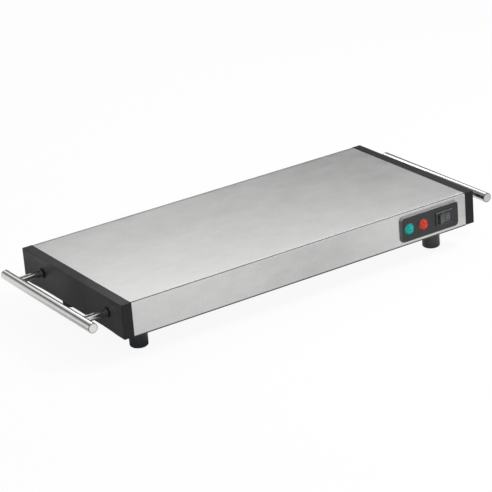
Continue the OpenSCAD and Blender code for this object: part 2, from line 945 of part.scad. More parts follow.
module switch_contact() {
    color(brass) at_pivot(contact_pivot, -contact_tilt) slab(2 * contact_half, contact_w, 0, contact_t);
}

module switch_terminals() {
    low = ctrl_t - switch_depth - blade_out;
    color(brass) on_front(switch_x, ctrl_z) {
        slab(blade_t, blade_w, low, pivot_w - contact_pivot - free_gap);
        translate([throw_u, 0, 0]) slab(blade_t, blade_w, low, pivot_w - contact_pivot - throw_drop);
    }
}

// Power inlet

module socket_outline() {
    difference() {
        square([socket_len, socket_w], center = true);
        for (x = [-1, 1])
            translate([x * socket_len / 2, socket_w / 2]) rotate([0, 0, 45])
                square(socket_cut, center = true);
    }
}

module pin_places() {
    translate([-pin_pitch / 2, -pin_low, 0]) children();
    translate([pin_pitch / 2, -pin_low, 0]) children();
    translate([0, pin_high, 0]) children();
}

module inlet_body() {
    color(black) on_back(inlet_x, z_mid) difference() {
        union() {
            bevel_plate(inlet_flange_len, inlet_flange_w, inlet_flange_r, inlet_flange_t, inlet_bevel);
            translate([0, 0, -inlet_depth])
                linear_extrude(inlet_depth + inlet_flange_t / 2) round_rect(inlet_len, inlet_w, inlet_r);
        }
        translate([0, 0, -socket_deep])
            linear_extrude(socket_deep + inlet_flange_t + overrun) socket_outline();
        pin_places() slab(pin_w + 2 * fit_gap, pin_h + 2 * fit_gap, -inlet_depth - overrun, 0);
        for (x = [-1, 1])
            translate([x * inlet_pitch / 2, 0, 0])
                post_bore(inlet_screw_d + 2 * fit_gap, -overrun, inlet_flange_t + overrun);
    }
}

module inlet_pins() {
    color(brass) on_back(inlet_x, z_mid) pin_places()
        slab(pin_w, pin_h, -inlet_depth - pin_tail, pin_reach - socket_deep);
}

module inlet_screws() {
    color(zinc) on_back(inlet_x, z_mid) for (x = [-1, 1])
        translate([x * inlet_pitch / 2, 0, inlet_flange_t])
            screw(inlet_screw_d, inlet_screw_len, inlet_head_d, inlet_head_h);
}

module inlet_nuts() {
    color(zinc) on_back(inlet_x, z_mid) for (x = [-1, 1])
        translate([x * inlet_pitch / 2, 0, -sheet_t - inlet_screw_d * nut_height_share]) nut(inlet_screw_d);
}

// Heating stack

module stud_holes(d, low, high) {
    for (place = stud_places)
        translate([place[0], place[1], 0]) post_bore(d, low - overrun, high + overrun);
}

module tab_places() {
    for (y = [-1, 1])
        translate([tab_x, y * tab_y, 0]) children();
}

module heat_spreader() {
    color(zinc) difference() {
        slab(spread_len, spread_w, z_element, z_in);
        stud_holes(stud_d + 2 * free_gap, z_element, z_in);
    }
}

module heating_element() {
    color([0.55, 0.42, 0.28]) {
        difference() {
            slab(spread_len - 2 * element_edge, spread_w - 2 * element_edge, z_insulation, z_element);
            stud_holes(stud_d + 2 * free_gap, z_insulation, z_element);
            translate([thermostat_x, 0, 0])
                post_bore(thermostat_d + 2 * free_gap, z_insulation - overrun, z_element + overrun);
        }
        tab_places() post_bore(tab_d, z_stack - tab_drop, z_insulation);
    }
}

module insulation_mat() {
    color(white) difference() {
        slab(spread_len, spread_w, z_clamp, z_insulation);
        stud_holes(stud_d + 2 * free_gap, z_clamp, z_insulation);
        translate([thermostat_x, 0, 0])
            post_bore(thermostat_d + 2 * free_gap, z_clamp - overrun, z_insulation + overrun);
        tab_places() post_bore(tab_window, z_clamp - overrun, z_insulation + overrun);
        bracket_screw_places()
            post_bore(bracket_screw_d + 2 * free_gap, z_clamp - overrun, z_clamp + bracket_screw_len);
    }
}

module clamp_plate() {
    color(zinc) difference() {
        union() {
            slab(spread_len, spread_w, z_stack, z_clamp);
            for (y = [-1, 1])
                translate([0, y * (spread_w - clamp_t) / 2, 0])
                    slab(spread_len, clamp_t, z_stack - clamp_fold, z_clamp);
        }
        stud_holes(stud_d + 2 * free_gap, z_stack, z_clamp);
        translate([thermostat_x, 0, 0])
            post_bore(thermostat_d + 2 * free_gap, z_stack - overrun, z_clamp + overrun);
        tab_places() post_bore(tab_window, z_stack - overrun, z_clamp + overrun);
        bracket_screw_places() post_bore(bracket_screw_d + 2 * fit_gap, z_stack - overrun, z_clamp + overrun);
    }
}

module clamp_studs() {
    low = z_stack - stud_d * nut_height_share - stud_thread_out;
    color(zinc) for (place = stud_places)
        translate([place[0], place[1], 0]) post_bore(stud_d, low, z_in);
}

module clamp_nuts() {
    color(zinc) for (place = stud_places)
        translate([place[0], place[1], z_stack - stud_d * nut_height_share]) nut(stud_d);
}

module bracket_screw_places() {
    for (x = [-1, 1])
        translate([thermostat_x + x * bracket_screw_x, 0, 0]) children();
}

module thermostat() {
    low = z_stack - thermostat_drop;
    color(white) translate([thermostat_x, 0, 0]) {
        post_bore(thermostat_d, z_stack, z_element);
        post_bore(thermostat_d - thermostat_neck, low, z_stack);
        slab(spade_w, thermostat_d + 2 * spade_out, low, low + spade_t);
    }
}

module thermostat_bracket() {
    color(zinc) difference() {
        translate([thermostat_x, 0, 0]) slab(bracket_len, bracket_w, z_stack - bracket_t, z_stack);
        translate([thermostat_x, 0, 0])
            post_bore(thermostat_d - thermostat_neck + 2 * fit_gap, z_stack - bracket_t - overrun, z_stack + overrun);
        bracket_screw_places()
            post_bore(bracket_screw_d + 2 * fit_gap, z_stack - bracket_t - overrun, z_stack + overrun);
    }
}

module thermostat_screws() {
    color(zinc) bracket_screw_places()
        translate([0, 0, z_stack - bracket_t]) rotate([180, 0, 0])
            screw(bracket_screw_d, bracket_screw_len, bracket_head_d, bracket_head_h);
}

module thermal_fuse() {
    middle = thermostat_x - fuse_gap - fuse_len;
    color(white) translate([middle, fuse_y, z_spade]) rotate([0, 90, 0]) {
        post_bore(fuse_d, -fuse_len / 2, fuse_len / 2);
        post_bore(wire_d, -fuse_len / 2 - fuse_wire, fuse_len / 2 + fuse_wire);
    }
}

// Terminal block and earth stud

module terminal_block() {
    color(white) translate([block_x, block_y, 0]) {
        difference() {
            slab(block_len, block_w, z_floor, z_floor + block_h);
            translate([0, 0, z_lead]) rotate([0, 90, 0])
                cylinder(h = block_len + 2 * overrun, d = lead_d + 2 * free_gap, center = true, $fn = fine);
        }
        for (x = [-1, 1])
            translate([x * block_len / 4, 0, 0])
                post_bore(block_screw_d, z_floor + block_h, z_floor + block_h + block_screw_h);
    }
}

module earth_stud() {
    color(zinc) translate([inlet_x, earth_y, 0]) post_bore(earth_d, z_floor, z_floor + earth_h);
}

module earth_nut() {
    color(zinc) translate([inlet_x, earth_y, z_floor + ring_t]) nut(earth_d);
}

// Inner leads: a tube of even thickness swept along a route with rounded corners

function unit(v) = v / norm(v);

function corner(a, b, c, bend) =
    let (back = unit(a - b) * bend, on = unit(c - b) * bend)
    [b + back, b + (back + on) / 4, b + on];

function rounded(route, bend) = [
    route[0],
    for (i = [1:len(route) - 2]) each corner(route[i - 1], route[i], route[i + 1], bend),
    route[len(route) - 1]
];

function heading(path, i) =
    unit(path[min(i + 1, len(path) - 1)] - path[max(i - 1, 0)]);

function ring(path, i, r) =
    let (
        ahead = heading(path, i),
        side = unit(cross(ahead, [0.48, 0.6, 0.64])),
        up = cross(ahead, side)
    )
    [for (k = [0:lead_sides - 1])
        let (turn = 360 * k / lead_sides)
        path[i] + r * (cos(turn) * side + sin(turn) * up)];

module tube(route, d, bend) {
    path = rounded(route, bend);
    last = len(path) - 1;
    points = [for (i = [0:last]) each ring(path, i, d / 2)];
    walls = [
        for (i = [0:last - 1], k = [0:lead_sides - 1])
            let (next = (k + 1) % lead_sides, row = i * lead_sides, above = row + lead_sides)
            each [[row + k, above + k, above + next], [row + k, above + next, row + next]]
    ];
    start = [for (k = [0:lead_sides - 1]) k];
    finish = [for (k = [lead_sides - 1:-1:0]) last * lead_sides + k];
    polyhedron(points, concat(walls, [start, finish]));
}

module live_lead() {
    x = inlet_x + pin_pitch / 2;
    z = z_mid - pin_low;
    t = switch_x + throw_u;
    color("saddlebrown") tube([
        [x, tail_y, z], [x, tail_y - trunk_in, z], [x, tail_y - trunk_in, z_lead], [x, feed_y, z_lead],
        [x, feed_y, ctrl_z], [t, feed_y, ctrl_z], [t, blade_end_y + free_gap, ctrl_z]
    ], lead_d, lead_bend);
}

module switched_lead() {
    spade_y = thermostat_d / 2 + spade_out + free_gap;
    color("black") tube([
        [switch_x, blade_end_y + free_gap, ctrl_z], [switch_x, switched_y, ctrl_z], [switch_x, switched_y, z_over],
        [thermostat_x, switched_y, z_over], [thermostat_x, switched_y, z_spade], [thermostat_x, -spade_y, z_spade]
    ], lead_d, lead_bend);
}

module heater_leads() {
    spade_y = thermostat_d / 2 + spade_out + free_gap;
    middle = thermostat_x - fuse_gap - fuse_len;
    reach = fuse_len / 2 + fuse_wire + free_gap;
    post_side = tab_y + tab_d / 2 + free_gap;
    color("red") {
        tube([
            [thermostat_x, spade_y, z_spade], [thermostat_x, fuse_y, z_spade], [middle + reach, fuse_y, z_spade]
        ], lead_d, lead_bend);
        tube([
            [middle - reach, fuse_y, z_spade], [tab_x, fuse_y, z_spade], [tab_x, post_side, z_spade]
        ], lead_d, lead_bend);
    }
}

module return_lead() {
    post_side = tab_y + tab_d / 2 + free_gap;
    color("blue") tube([
        [tab_x, -post_side, z_spade], [tab_x, block_y, z_spade], [tab_x, block_y, z_lead],
        [block_x - free_gap, block_y, z_lead]
    ], lead_d, lead_bend);
}

module neutral_lead() {
    x = inlet_x - pin_pitch / 2;
    z = z_mid - pin_low;
    color("blue") tube([
        [x, tail_y, z], [x, tail_y - trunk_in, z], [x, tail_y - trunk_in, z_lead], [x, block_y, z_lead],
        [block_x + free_gap, block_y, z_lead]
    ], lead_d, lead_bend);
}

module earth_lead() {
    z = z_mid + pin_high;
    low = z_floor + lead_d / 2;
    color("green") {
        tube([
            [inlet_x, tail_y, z], [inlet_x, tail_y - 2 * trunk_in, z],
            [inlet_x, tail_y - 2 * trunk_in, low], [inlet_x, earth_y + earth_d, low]
        ], lead_d, lead_bend);
        translate([inlet_x, earth_y, 0]) difference() {
            post_bore(ring_d, z_floor, z_floor + ring_t);
            post_bore(earth_d + 2 * fit_gap, z_floor - overrun, z_floor + ring_t + overrun);
        }
    }
}

module lamp_leads() {
    start = holder_len + wire_out + free_gap - y_side;
    bus = start + 2 * lamp_bus;
    half = wire_pitch / 2;
    color("gray") {
        tube([
            [green_x - half, start, ctrl_z], [green_x - half, bus, ctrl_z], [green_x - half, bus, z_lead],
            [green_x - half, block_y - lead_d - free_gap, z_lead]
        ], lead_d, lamp_bus);
        tube([
            [green_x + half, start, ctrl_z], [green_x + half, bus, ctrl_z],
            [red_x - half, bus, ctrl_z], [red_x - half, start, ctrl_z]
        ], lead_d, lamp_bus);
        tube([
            [red_x + half, start, ctrl_z], [red_x + half, bus, ctrl_z], [switch_x - 2 * lamp_bus, bus, ctrl_z],
            [switch_x - 2 * lamp_bus, switch_back_y + lamp_bus, ctrl_z],
            [switch_x - blade_t / 2 - free_gap, switch_back_y + lamp_bus, ctrl_z]
        ], lead_d, lamp_bus / 2);
    }
}

in_frame() housing_cover();
in_frame() bottom_plate();
in_frame() left_end_cap();
in_frame() right_end_cap();
in_frame() left_handle_bar();
in_frame() right_handle_bar();
in_frame() left_front_handle_post();
in_frame() left_back_handle_post();
in_frame() right_front_handle_post();
in_frame() right_back_handle_post();
in_frame() left_handle_collars();
in_frame() right_handle_collars();
in_frame() left_stiffening_plate();
in_frame() right_stiffening_plate();
in_frame() handle_screws();
in_frame() end_cap_screws();
in_frame() bottom_plate_screws();
in_frame() front_left_foot();
in_frame() front_right_foot();
in_frame() back_left_foot();
in_frame() back_right_foot();
in_frame() foot_screws();
in_frame() foot_washers();
in_frame() foot_nuts();
in_frame() control_plate();
in_frame() green_lamp_lens();
in_frame() red_lamp_lens();
in_frame() green_lamp_holder();
in_frame() red_lamp_holder();
in_frame() green_neon_bulb();
in_frame() red_neon_bulb();
in_frame() switch_body();
in_frame() switch_rocker();
in_frame() switch_contact();
in_frame() switch_terminals();
in_frame() inlet_body();
in_frame() inlet_pins();
in_frame() inlet_screws();
in_frame() inlet_nuts();
in_frame() heat_spreader();
in_frame() heating_element();
in_frame() insulation_mat();
in_frame() clamp_plate();
in_frame() clamp_studs();
in_frame() clamp_nuts();
in_frame() thermostat();
in_frame() thermostat_bracket();
in_frame() thermostat_screws();
in_frame() thermal_fuse();
in_frame() terminal_block();
in_frame() earth_stud();
in_frame() earth_nut();
in_frame() live_lead();
in_frame() switched_lead();
in_frame() heater_leads();
in_frame() return_lead();
in_frame() neutral_lead();
in_frame() earth_lead();
in_frame() lamp_leads();
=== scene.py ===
"""Looks of the electric food warmer tray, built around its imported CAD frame."""

import json
import math

import bmesh
import bpy
from mathutils import Matrix, Vector


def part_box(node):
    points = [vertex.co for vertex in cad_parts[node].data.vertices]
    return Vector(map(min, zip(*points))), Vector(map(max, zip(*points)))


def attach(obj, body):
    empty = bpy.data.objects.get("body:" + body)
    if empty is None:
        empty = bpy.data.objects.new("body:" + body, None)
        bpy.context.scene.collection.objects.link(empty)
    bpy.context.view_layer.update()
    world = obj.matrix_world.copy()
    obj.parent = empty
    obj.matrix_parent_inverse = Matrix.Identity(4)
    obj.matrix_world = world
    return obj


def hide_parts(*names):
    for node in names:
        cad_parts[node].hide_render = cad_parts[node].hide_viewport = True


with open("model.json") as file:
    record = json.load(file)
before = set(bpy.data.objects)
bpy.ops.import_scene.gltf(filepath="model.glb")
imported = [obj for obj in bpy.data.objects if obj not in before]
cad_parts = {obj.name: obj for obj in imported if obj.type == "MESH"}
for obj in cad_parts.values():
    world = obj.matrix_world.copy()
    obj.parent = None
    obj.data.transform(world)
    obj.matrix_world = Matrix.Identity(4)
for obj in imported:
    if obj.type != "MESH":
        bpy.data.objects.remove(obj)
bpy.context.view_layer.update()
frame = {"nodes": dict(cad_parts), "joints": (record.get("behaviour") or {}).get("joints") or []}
nodes = frame["nodes"]
scene = bpy.context.scene

MM = 0.001
cover_low, cover_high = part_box("housing_cover")
X_END = cover_high.x
Z_LOW = cover_low.z
Z_TOP = cover_high.z
Y_MID = (cover_low.y + cover_high.y) / 2
HALF_W = (cover_high.y - cover_low.y) / 2
Y_FRONT = cover_low.y
PLATE_T, BEZEL_T = 2.6 * MM, 1.5 * MM       # thickness of the control plate and the switch's bezel


# Camera

AZIMUTH, ELEVATION, ROLL = (math.radians(a) for a in (-32.116, 22.243, -4.529))
CAMERA_AIM = Vector((-20.14 * MM, -19.857 * MM + Y_MID, 43.44 * MM))
CAMERA_DISTANCE = 2.17624
CAMERA_LENS, CAMERA_SENSOR = 158.2, 36


def add_camera():
    """The photograph's camera."""
    back = Vector((math.sin(AZIMUTH) * math.cos(ELEVATION),
                   -math.cos(AZIMUTH) * math.cos(ELEVATION),
                   math.sin(ELEVATION)))
    right = Vector((0, 0, 1)).cross(back).normalized()
    up = back.cross(right)
    right, up = (math.cos(ROLL) * right + math.sin(ROLL) * up,
                 -math.sin(ROLL) * right + math.cos(ROLL) * up)
    data = bpy.data.cameras.new("camera")
    data.lens = CAMERA_LENS
    data.sensor_width = CAMERA_SENSOR
    data.clip_start = 0.05
    data.clip_end = 60
    cam = bpy.data.objects.new("camera", data)
    scene.collection.objects.link(cam)
    turn = Matrix((right, up, back)).transposed().to_4x4()
    cam.matrix_world = Matrix.Translation(CAMERA_AIM + back * CAMERA_DISTANCE) @ turn
    scene.camera = cam


add_camera()


# Node helpers

class Nodes:
    """Short calls for building the node tree of a material or of the world."""

    def __init__(self, name, world=None):
        self.mat = world or bpy.data.materials.new(name)
        self.mat.use_nodes = True
        self.tree = self.mat.node_tree
        self.tree.nodes.clear()
        self.out = self.add("ShaderNodeOutputWorld" if world else "ShaderNodeOutputMaterial")

    def add(self, kind, **values):
        node = self.tree.nodes.new(kind)
        for key, value in values.items():
            setattr(node, key, value)
        return node

    def put(self, socket, value):
        """Links an output to the socket, or sets a plain value on it."""
        if hasattr(value, "is_output"):
            self.tree.links.new(value, socket)
        elif isinstance(value, (tuple, list)) and len(value) == 3 and socket.type == "RGBA":
            socket.default_value = (*value, 1)
        else:
            socket.default_value = value

    def coords(self, scale=(1, 1, 1), shift=(0, 0, 0)):
        """The object's own coordinates, scaled and then shifted."""
        mapping = self.add("ShaderNodeMapping")
        self.put(mapping.inputs["Vector"], self.add("ShaderNodeTexCoord").outputs["Object"])
        mapping.inputs["Scale"].default_value = scale
        mapping.inputs["Location"].default_value = shift
        return mapping.outputs["Vector"]

    def axes(self, vector):
        """The x, y and z of a vector."""
        split = self.add("ShaderNodeSeparateXYZ")
        self.put(split.inputs[0], vector)
        return split.outputs

    def noise(self, vector, scale, detail, rough):
        node = self.add("ShaderNodeTexNoise")
        self.put(node.inputs["Vector"], vector)
        node.inputs["Scale"].default_value = scale
        node.inputs["Detail"].default_value = detail
        node.inputs["Roughness"].default_value = rough
        return node.outputs["Fac"]

    def math(self, kind, a, b=0.0):
        node = self.add("ShaderNodeMath", operation=kind)
        self.put(node.inputs[0], a)
        self.put(node.inputs[1], b)
        return node.outputs[0]

    def product(self, first, *factors):
        for factor in factors:
            first = self.math("MULTIPLY", first, factor)
        return first

    def highest(self, first, *others):
        for other in others:
            first = self.math("MAXIMUM", first, other)
        return first

    def weighted(self, *pairs):
        """The sum of values, each times its weight."""
        total = None
        for value, weight in pairs:
            part = self.math("MULTIPLY", value, weight)
            total = part if total is None else self.math("ADD", total, part)
        return total

    def dot(self, vector, direction):
        node = self.add("ShaderNodeVectorMath", operation="DOT_PRODUCT")
        self.put(node.inputs[0], vector)
        node.inputs[1].default_value = direction
        return node.outputs["Value"]

    def spread(self, value, low, high, start=0.0, end=1.0, smooth=False):
        """Maps start to low and end to high, and holds them outside."""
        kind = "SMOOTHSTEP" if smooth else "LINEAR"
        node = self.add("ShaderNodeMapRange", interpolation_type=kind)
        self.put(node.inputs["Value"], value)
        node.inputs["From Min"].default_value = start
        node.inputs["From Max"].default_value = end
        node.inputs["To Min"].default_value = low
        node.inputs["To Max"].default_value = high
        return node.outputs[0]

    def window(self, value, begin=None, end=None, level=1.0):
        """A level that eases in over the span begin and out over the span end."""
        sides = []
        if begin:
            sides.append(self.spread(value, 0, level, *begin, True))
        if end:
            sides.append(self.spread(value, 1 if begin else level, 0, *end, True))
        return self.product(*sides)

    def zone(self, values, spans):
        """The product of a window over each value; spans holds what each window takes."""
        return self.product(*(self.window(value, *span) for value, span in zip(values, spans)))

    def blend(self, factor, a, b):
        node = self.add("ShaderNodeMix", data_type="RGBA")
        self.put(node.inputs["Factor"], factor)
        self.put(node.inputs["A"], a)
        self.put(node.inputs["B"], b)
        return node.outputs["Result"]

    def bump(self, height, strength, distance, normal=None):
        node = self.add("ShaderNodeBump")
        self.put(node.inputs["Height"], height)
        node.inputs["Strength"].default_value = strength
        node.inputs["Distance"].default_value = distance
        if normal is not None:
            self.put(node.inputs["Normal"], normal)
        return node.outputs["Normal"]

    def shader(self, color, rough, metal, normal, **extra):
        node = self.add("ShaderNodeBsdfPrincipled")
        self.put(node.inputs["Base Color"], color)
        self.put(node.inputs["Roughness"], rough)
        node.inputs["Metallic"].default_value = metal
        self.put(node.inputs["Normal"], normal)
        for key, value in extra.items():
            node.inputs[key.replace("_", " ")].default_value = value
        self.tree.links.new(node.outputs[0], self.out.inputs["Surface"])
        return self.mat

    def mix_surfaces(self, factor, first, second):
        """Ends the tree in a mix of two shader nodes."""
        mix = self.add("ShaderNodeMixShader")
        self.put(mix.inputs[0], factor)
        self.tree.links.new(first.outputs[0], mix.inputs[1])
        self.tree.links.new(second.outputs[0], mix.inputs[2])
        self.tree.links.new(mix.outputs[0], self.out.inputs["Surface"])


# Materials

FOLD_R, HEM_R = 1.7 * MM, 1.4 * MM          # the cover's bends at its top and along its lower edge
FOLD_EASE = 0.4 * MM
CROWN = 3.6 * MM                            # the strip of the top that eases down into each fold
CROWN_SLOPE = math.tan(math.radians(7))
# Painted shade and reflection: the first grey darkens the cover's hem, the second paints a dark
# reflection on the bars' end rims.
HEM_SHADE_GREY, RIM_REFLECTION_GREY = (0.07, 0.07, 0.07), (0.16, 0.16, 0.16)
LENGTHWAYS = (0.03, 1.0, 1.0)
HIGHLIGHT_BEGIN, HIGHLIGHT_FULL = 0.08 * MM, 0.30 * MM  # behind a front face, where the painted highlight begins and is full
HIGHLIGHT_GLOSS, UPPER_HIGHLIGHT = 0.23, 3.0           # less roughness where the highlight is painted; upper sides painted lighter still, where light falls
EVERYWHERE = -1.0


def brushed(name, dark, light, rough, grain, fine, mottle=6.0):
    """Metal with a fine grain, drawn out into lines where its scale is small, and a soft mottle."""
    n = Nodes(name)
    lines = n.noise(n.coords(grain), fine, 4.0, 0.6)
    cross = n.noise(n.coords(grain, (3.1, 1.7, 0.4)), fine * 0.24, 3.0, 0.55)
    cloud = n.noise(n.coords(), mottle, 3.0, 0.6)
    speckle = n.noise(n.coords(), mottle * 22, 2.0, 0.6)
    mix = n.weighted((lines, 0.45), (cross, 0.2), (cloud, 0.22), (speckle, 0.13))
    color = n.blend(n.spread(mix, 0, 1, 0.36, 0.64), dark, light)
    roughness = n.spread(lines, rough - 0.05, rough + 0.07, 0.3, 0.7)
    return n.shader(color, roughness, 1.0, n.bump(lines, 0.12, 0.0001))


def folded_sheet(name, dark, light, rough, fold_rough):
    """The cover's satin sheet: a crown before each top fold, a burnished fold, and painted shade
    darkening the strip along the lower edge.
    """
    n = Nodes(name)
    _, y, z = n.axes(n.coords())
    side = n.math("ABSOLUTE", n.math("SUBTRACT", y, Y_MID))
    fold_y, fold_z = HALF_W - FOLD_R, Z_TOP - FOLD_R
    fold = n.product(n.window(side, (fold_y - FOLD_EASE, fold_y)),
                     n.window(z, (fold_z - FOLD_EASE, fold_z)))
    # Painted shade: the strip along the lower hem is darkened.
    hem = n.window(z, end=(Z_LOW + HEM_R, Z_LOW + HEM_R * 1.6))
    grain = n.noise(n.coords((0.8, 1, 1)), 620.0, 3.0, 0.65)
    cloud = n.noise(n.coords((0.6, 1, 1)), 75.0, 4.0, 0.65)
    broad = n.noise(n.coords((0.5, 1, 1)), 9.0, 2.0, 0.5)
    mix = n.weighted((grain, 0.35), (cloud, 0.40), (broad, 0.25))
    color = n.blend(n.spread(mix, 0, 1, 0.38, 0.62), dark, light)
    color = n.blend(hem, color, HEM_SHADE_GREY)
    roughness = n.spread(cloud, rough - 0.03, rough + 0.04, 0.3, 0.7)
    roughness = n.math("ADD", roughness, n.math("MULTIPLY", fold, fold_rough - rough))
    into = n.math("MAXIMUM", n.math("SUBTRACT", side, fold_y - CROWN), 0.0)
    drop = n.product(into, into, -CROWN_SLOPE / (2 * CROWN))
    return n.shader(color, roughness, 1.0, n.bump(grain, 0.1, 0.0001, n.bump(drop, 1.0, 1.0)))


def turned(name, dark, light, rough, centre, face_r, face_y):
    """Metal turned about an axis along Y, with a painted dark reflection on its rim: past face_r
    and beyond face_y.
    """
    n = Nodes(name)
    x, y, z = n.axes(n.coords((1, 1, 1), (-centre.x, 0, -centre.z)))
    radius = n.math("SQRT", n.math("ADD", n.math("MULTIPLY", x, x), n.math("MULTIPLY", z, z)))
    around = n.add("ShaderNodeCombineXYZ")
    n.put(around.inputs[0], radius)
    n.put(around.inputs[1], y)
    lines = n.noise(around.outputs[0], 2600.0, 3.0, 0.6)
    slow = n.noise(around.outputs[0], 156.0, 2.0, 0.5)
    mix = n.weighted((lines, 0.65), (slow, 0.35))
    color = n.blend(n.spread(mix, 0, 1, 0.34, 0.66), dark, light)
    end = n.math("ABSOLUTE", n.math("SUBTRACT", y, Y_MID))
    # Painted dark reflection: the rim of each end is greyed.
    rim_reflection = n.product(n.window(end, (face_y - 0.2 * MM, face_y)),
                     n.window(radius, (face_r, face_r + 0.25 * MM)))
    color = n.blend(rim_reflection, color, RIM_REFLECTION_GREY)
    roughness = n.spread(lines, rough - 0.05, rough + 0.06, 0.3, 0.7)
    return n.shader(color, roughness, 1.0, n.bump(lines, 0.15, 0.00008))


def grained(n, grain, dark, light, rough):
    """A fine spark-eroded grain and faint handling marks, as height, colour and roughness."""
    fine = n.noise(n.coords(), grain, 2.0, 0.6)
    slow = n.noise(n.coords(), 26.0, 3.0, 0.55)
    color = n.blend(n.spread(n.weighted((fine, 0.5), (slow, 0.5)), 0, 1, 0.35, 0.65), dark, light)
    return fine, color, n.spread(slow, rough - 0.05, rough + 0.06, 0.3, 0.7)


def moulded(name, dark, light, rough, grain=1400.0, relief=0.12, level=0.5):
    """Moulded plastic, rubber or ceramic."""
    n = Nodes(name)
    fine, color, roughness = grained(n, grain, dark, light, rough)
    return n.shader(color, roughness, 0.0, n.bump(fine, relief, 0.00012), Specular_IOR_Level=level)


def edged(name, dark, light, edge, rough, face_y, above=EVERYWHERE):
    """Black moulding with a painted highlight: lighter behind its front face, most on upper sides
    above a height.
    """
    n = Nodes(name)
    fine, color, roughness = grained(n, 1800.0, dark, light, rough)
    _, y, z = n.axes(n.coords())
    # Painted highlight: a lighter band behind the front face.
    painted_highlight = n.product(n.window(y, (face_y + HIGHLIGHT_BEGIN, face_y + HIGHLIGHT_FULL)),
                       n.spread(fine, 0.85, 1, 0.3, 0.7))
    facing = n.axes(n.add("ShaderNodeNewGeometry").outputs["True Normal"])
    # Painted highlight: upper-facing sides above the height are lighter still, where light falls.
    upper = n.product(n.spread(facing[2], 0, 1, 0.1, 0.6),
                      n.spread(z, 0, 1, above, above + 0.1 * MM))
    edge = n.blend(upper, edge, tuple(c * UPPER_HIGHLIGHT for c in edge))
    roughness = n.math("SUBTRACT", roughness, n.math("MULTIPLY", painted_highlight, HIGHLIGHT_GLOSS))
    return n.shader(n.blend(painted_highlight, color, edge), roughness, 0.0, n.bump(fine, 0.12, 0.00012))


def lens_glass(name, node, deep, bright, dark):
    """Clear moulded lamp lens, with painted shade: its colour darkens towards the lower right."""
    low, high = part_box(node)
    n = Nodes(name)
    swirl = n.noise(n.coords(), 420.0, 2.0, 0.6)
    color = n.blend(n.spread(swirl, 0, 1, 0.35, 0.65), deep, bright)
    x, _, z = n.axes(n.coords((1, 1, 1), (-(low.x + high.x) / 2, 0, -(low.z + high.z) / 2)))
    # Painted shade: darker towards the right side and the bottom.
    aside = n.math("MULTIPLY", n.window(x, (1.4 * MM, 5.0 * MM)), 0.75)
    shade_below = n.math("MULTIPLY", n.window(z, end=(-5.6 * MM, -1.0 * MM)), 0.80)
    color = n.blend(n.highest(aside, shade_below), color, dark)
    relief = n.bump(swirl, 0.05, 0.0002)
    return n.shader(color, 0.12, 0.0, relief, IOR=1.46, Specular_IOR_Level=0.35)


BEZEL_MID_Z = sum(corner.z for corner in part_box("switch_body")) / 2

steel_sheet = folded_sheet("steel_sheet", (0.57, 0.57, 0.565), (0.67, 0.67, 0.665), 0.33, 0.16)
steel_post = brushed("steel_post", (0.62, 0.62, 0.61), (0.76, 0.76, 0.75), 0.16,
                     (1.0, 0.1, 0.1), 2200.0)
zinc = brushed("zinc_plate", (0.42, 0.43, 0.44), (0.58, 0.59, 0.60), 0.36, (1, 1, 1), 700.0, 40.0)
galvanised = brushed("galvanised", (0.38, 0.39, 0.40), (0.58, 0.59, 0.60), 0.42,
                     (1, 1, 1), 260.0, 60.0)
alloy = brushed("rolled_alloy", (0.55, 0.55, 0.56), (0.72, 0.72, 0.73), 0.40, LENGTHWAYS, 700.0)
brass = brushed("brass", (0.55, 0.38, 0.13), (0.78, 0.58, 0.24), 0.30, (1, 1, 1), 900.0)
cap_plastic = moulded("cap_plastic", (0.006, 0.0063, 0.007), (0.010, 0.0105, 0.0115), 0.44,
                      level=0.26)
plate_plastic = moulded("plate_plastic", (0.014, 0.0145, 0.016), (0.022, 0.023, 0.025), 0.34,
                        1800.0)
# The third colour of each is its painted highlight.
plate_black = edged("control_plate_black", (0.009, 0.0095, 0.0105), (0.015, 0.0155, 0.017),
                    (0.088, 0.090, 0.093), 0.34, Y_FRONT - PLATE_T)
switch_black = edged("switch_body_black", (0.016, 0.0165, 0.018), (0.026, 0.027, 0.030),
                     (0.045, 0.046, 0.048), 0.30, Y_FRONT - PLATE_T - BEZEL_T, BEZEL_MID_Z)
rocker_plastic = moulded("rocker_plastic", (0.040, 0.042, 0.045), (0.054, 0.057, 0.061), 0.20,
                         2600.0, 0.04)
rubber = moulded("foot_rubber", (0.030, 0.034, 0.038), (0.045, 0.050, 0.055), 0.36, 1100.0, 0.2)
white_plastic = moulded("white_plastic", (0.68, 0.67, 0.62), (0.82, 0.81, 0.77), 0.4)
mica = moulded("mica", (0.30, 0.21, 0.12), (0.50, 0.38, 0.24), 0.5, 600.0)
wool = moulded("mineral_wool", (0.60, 0.57, 0.48), (0.84, 0.81, 0.73), 0.9, 500.0, 0.6)
ceramic = moulded("ceramic", (0.74, 0.71, 0.64), (0.86, 0.84, 0.78), 0.25, 500.0, 0.05)
mark_paint = moulded("mark_paint", (0.17, 0.17, 0.17), (0.24, 0.24, 0.24), 0.5)
# The last colour of each lens is its painted shade.
green_lens = lens_glass("green_lens", "green_lamp_lens", (0.001, 0.24, 0.21), (0.003, 0.44, 0.39),
                        (0.003, 0.055, 0.045))
red_lens = lens_glass("red_lens", "red_lamp_lens", (0.40, 0.026, 0.012), (0.62, 0.055, 0.026),
                      (0.075, 0.012, 0.010))

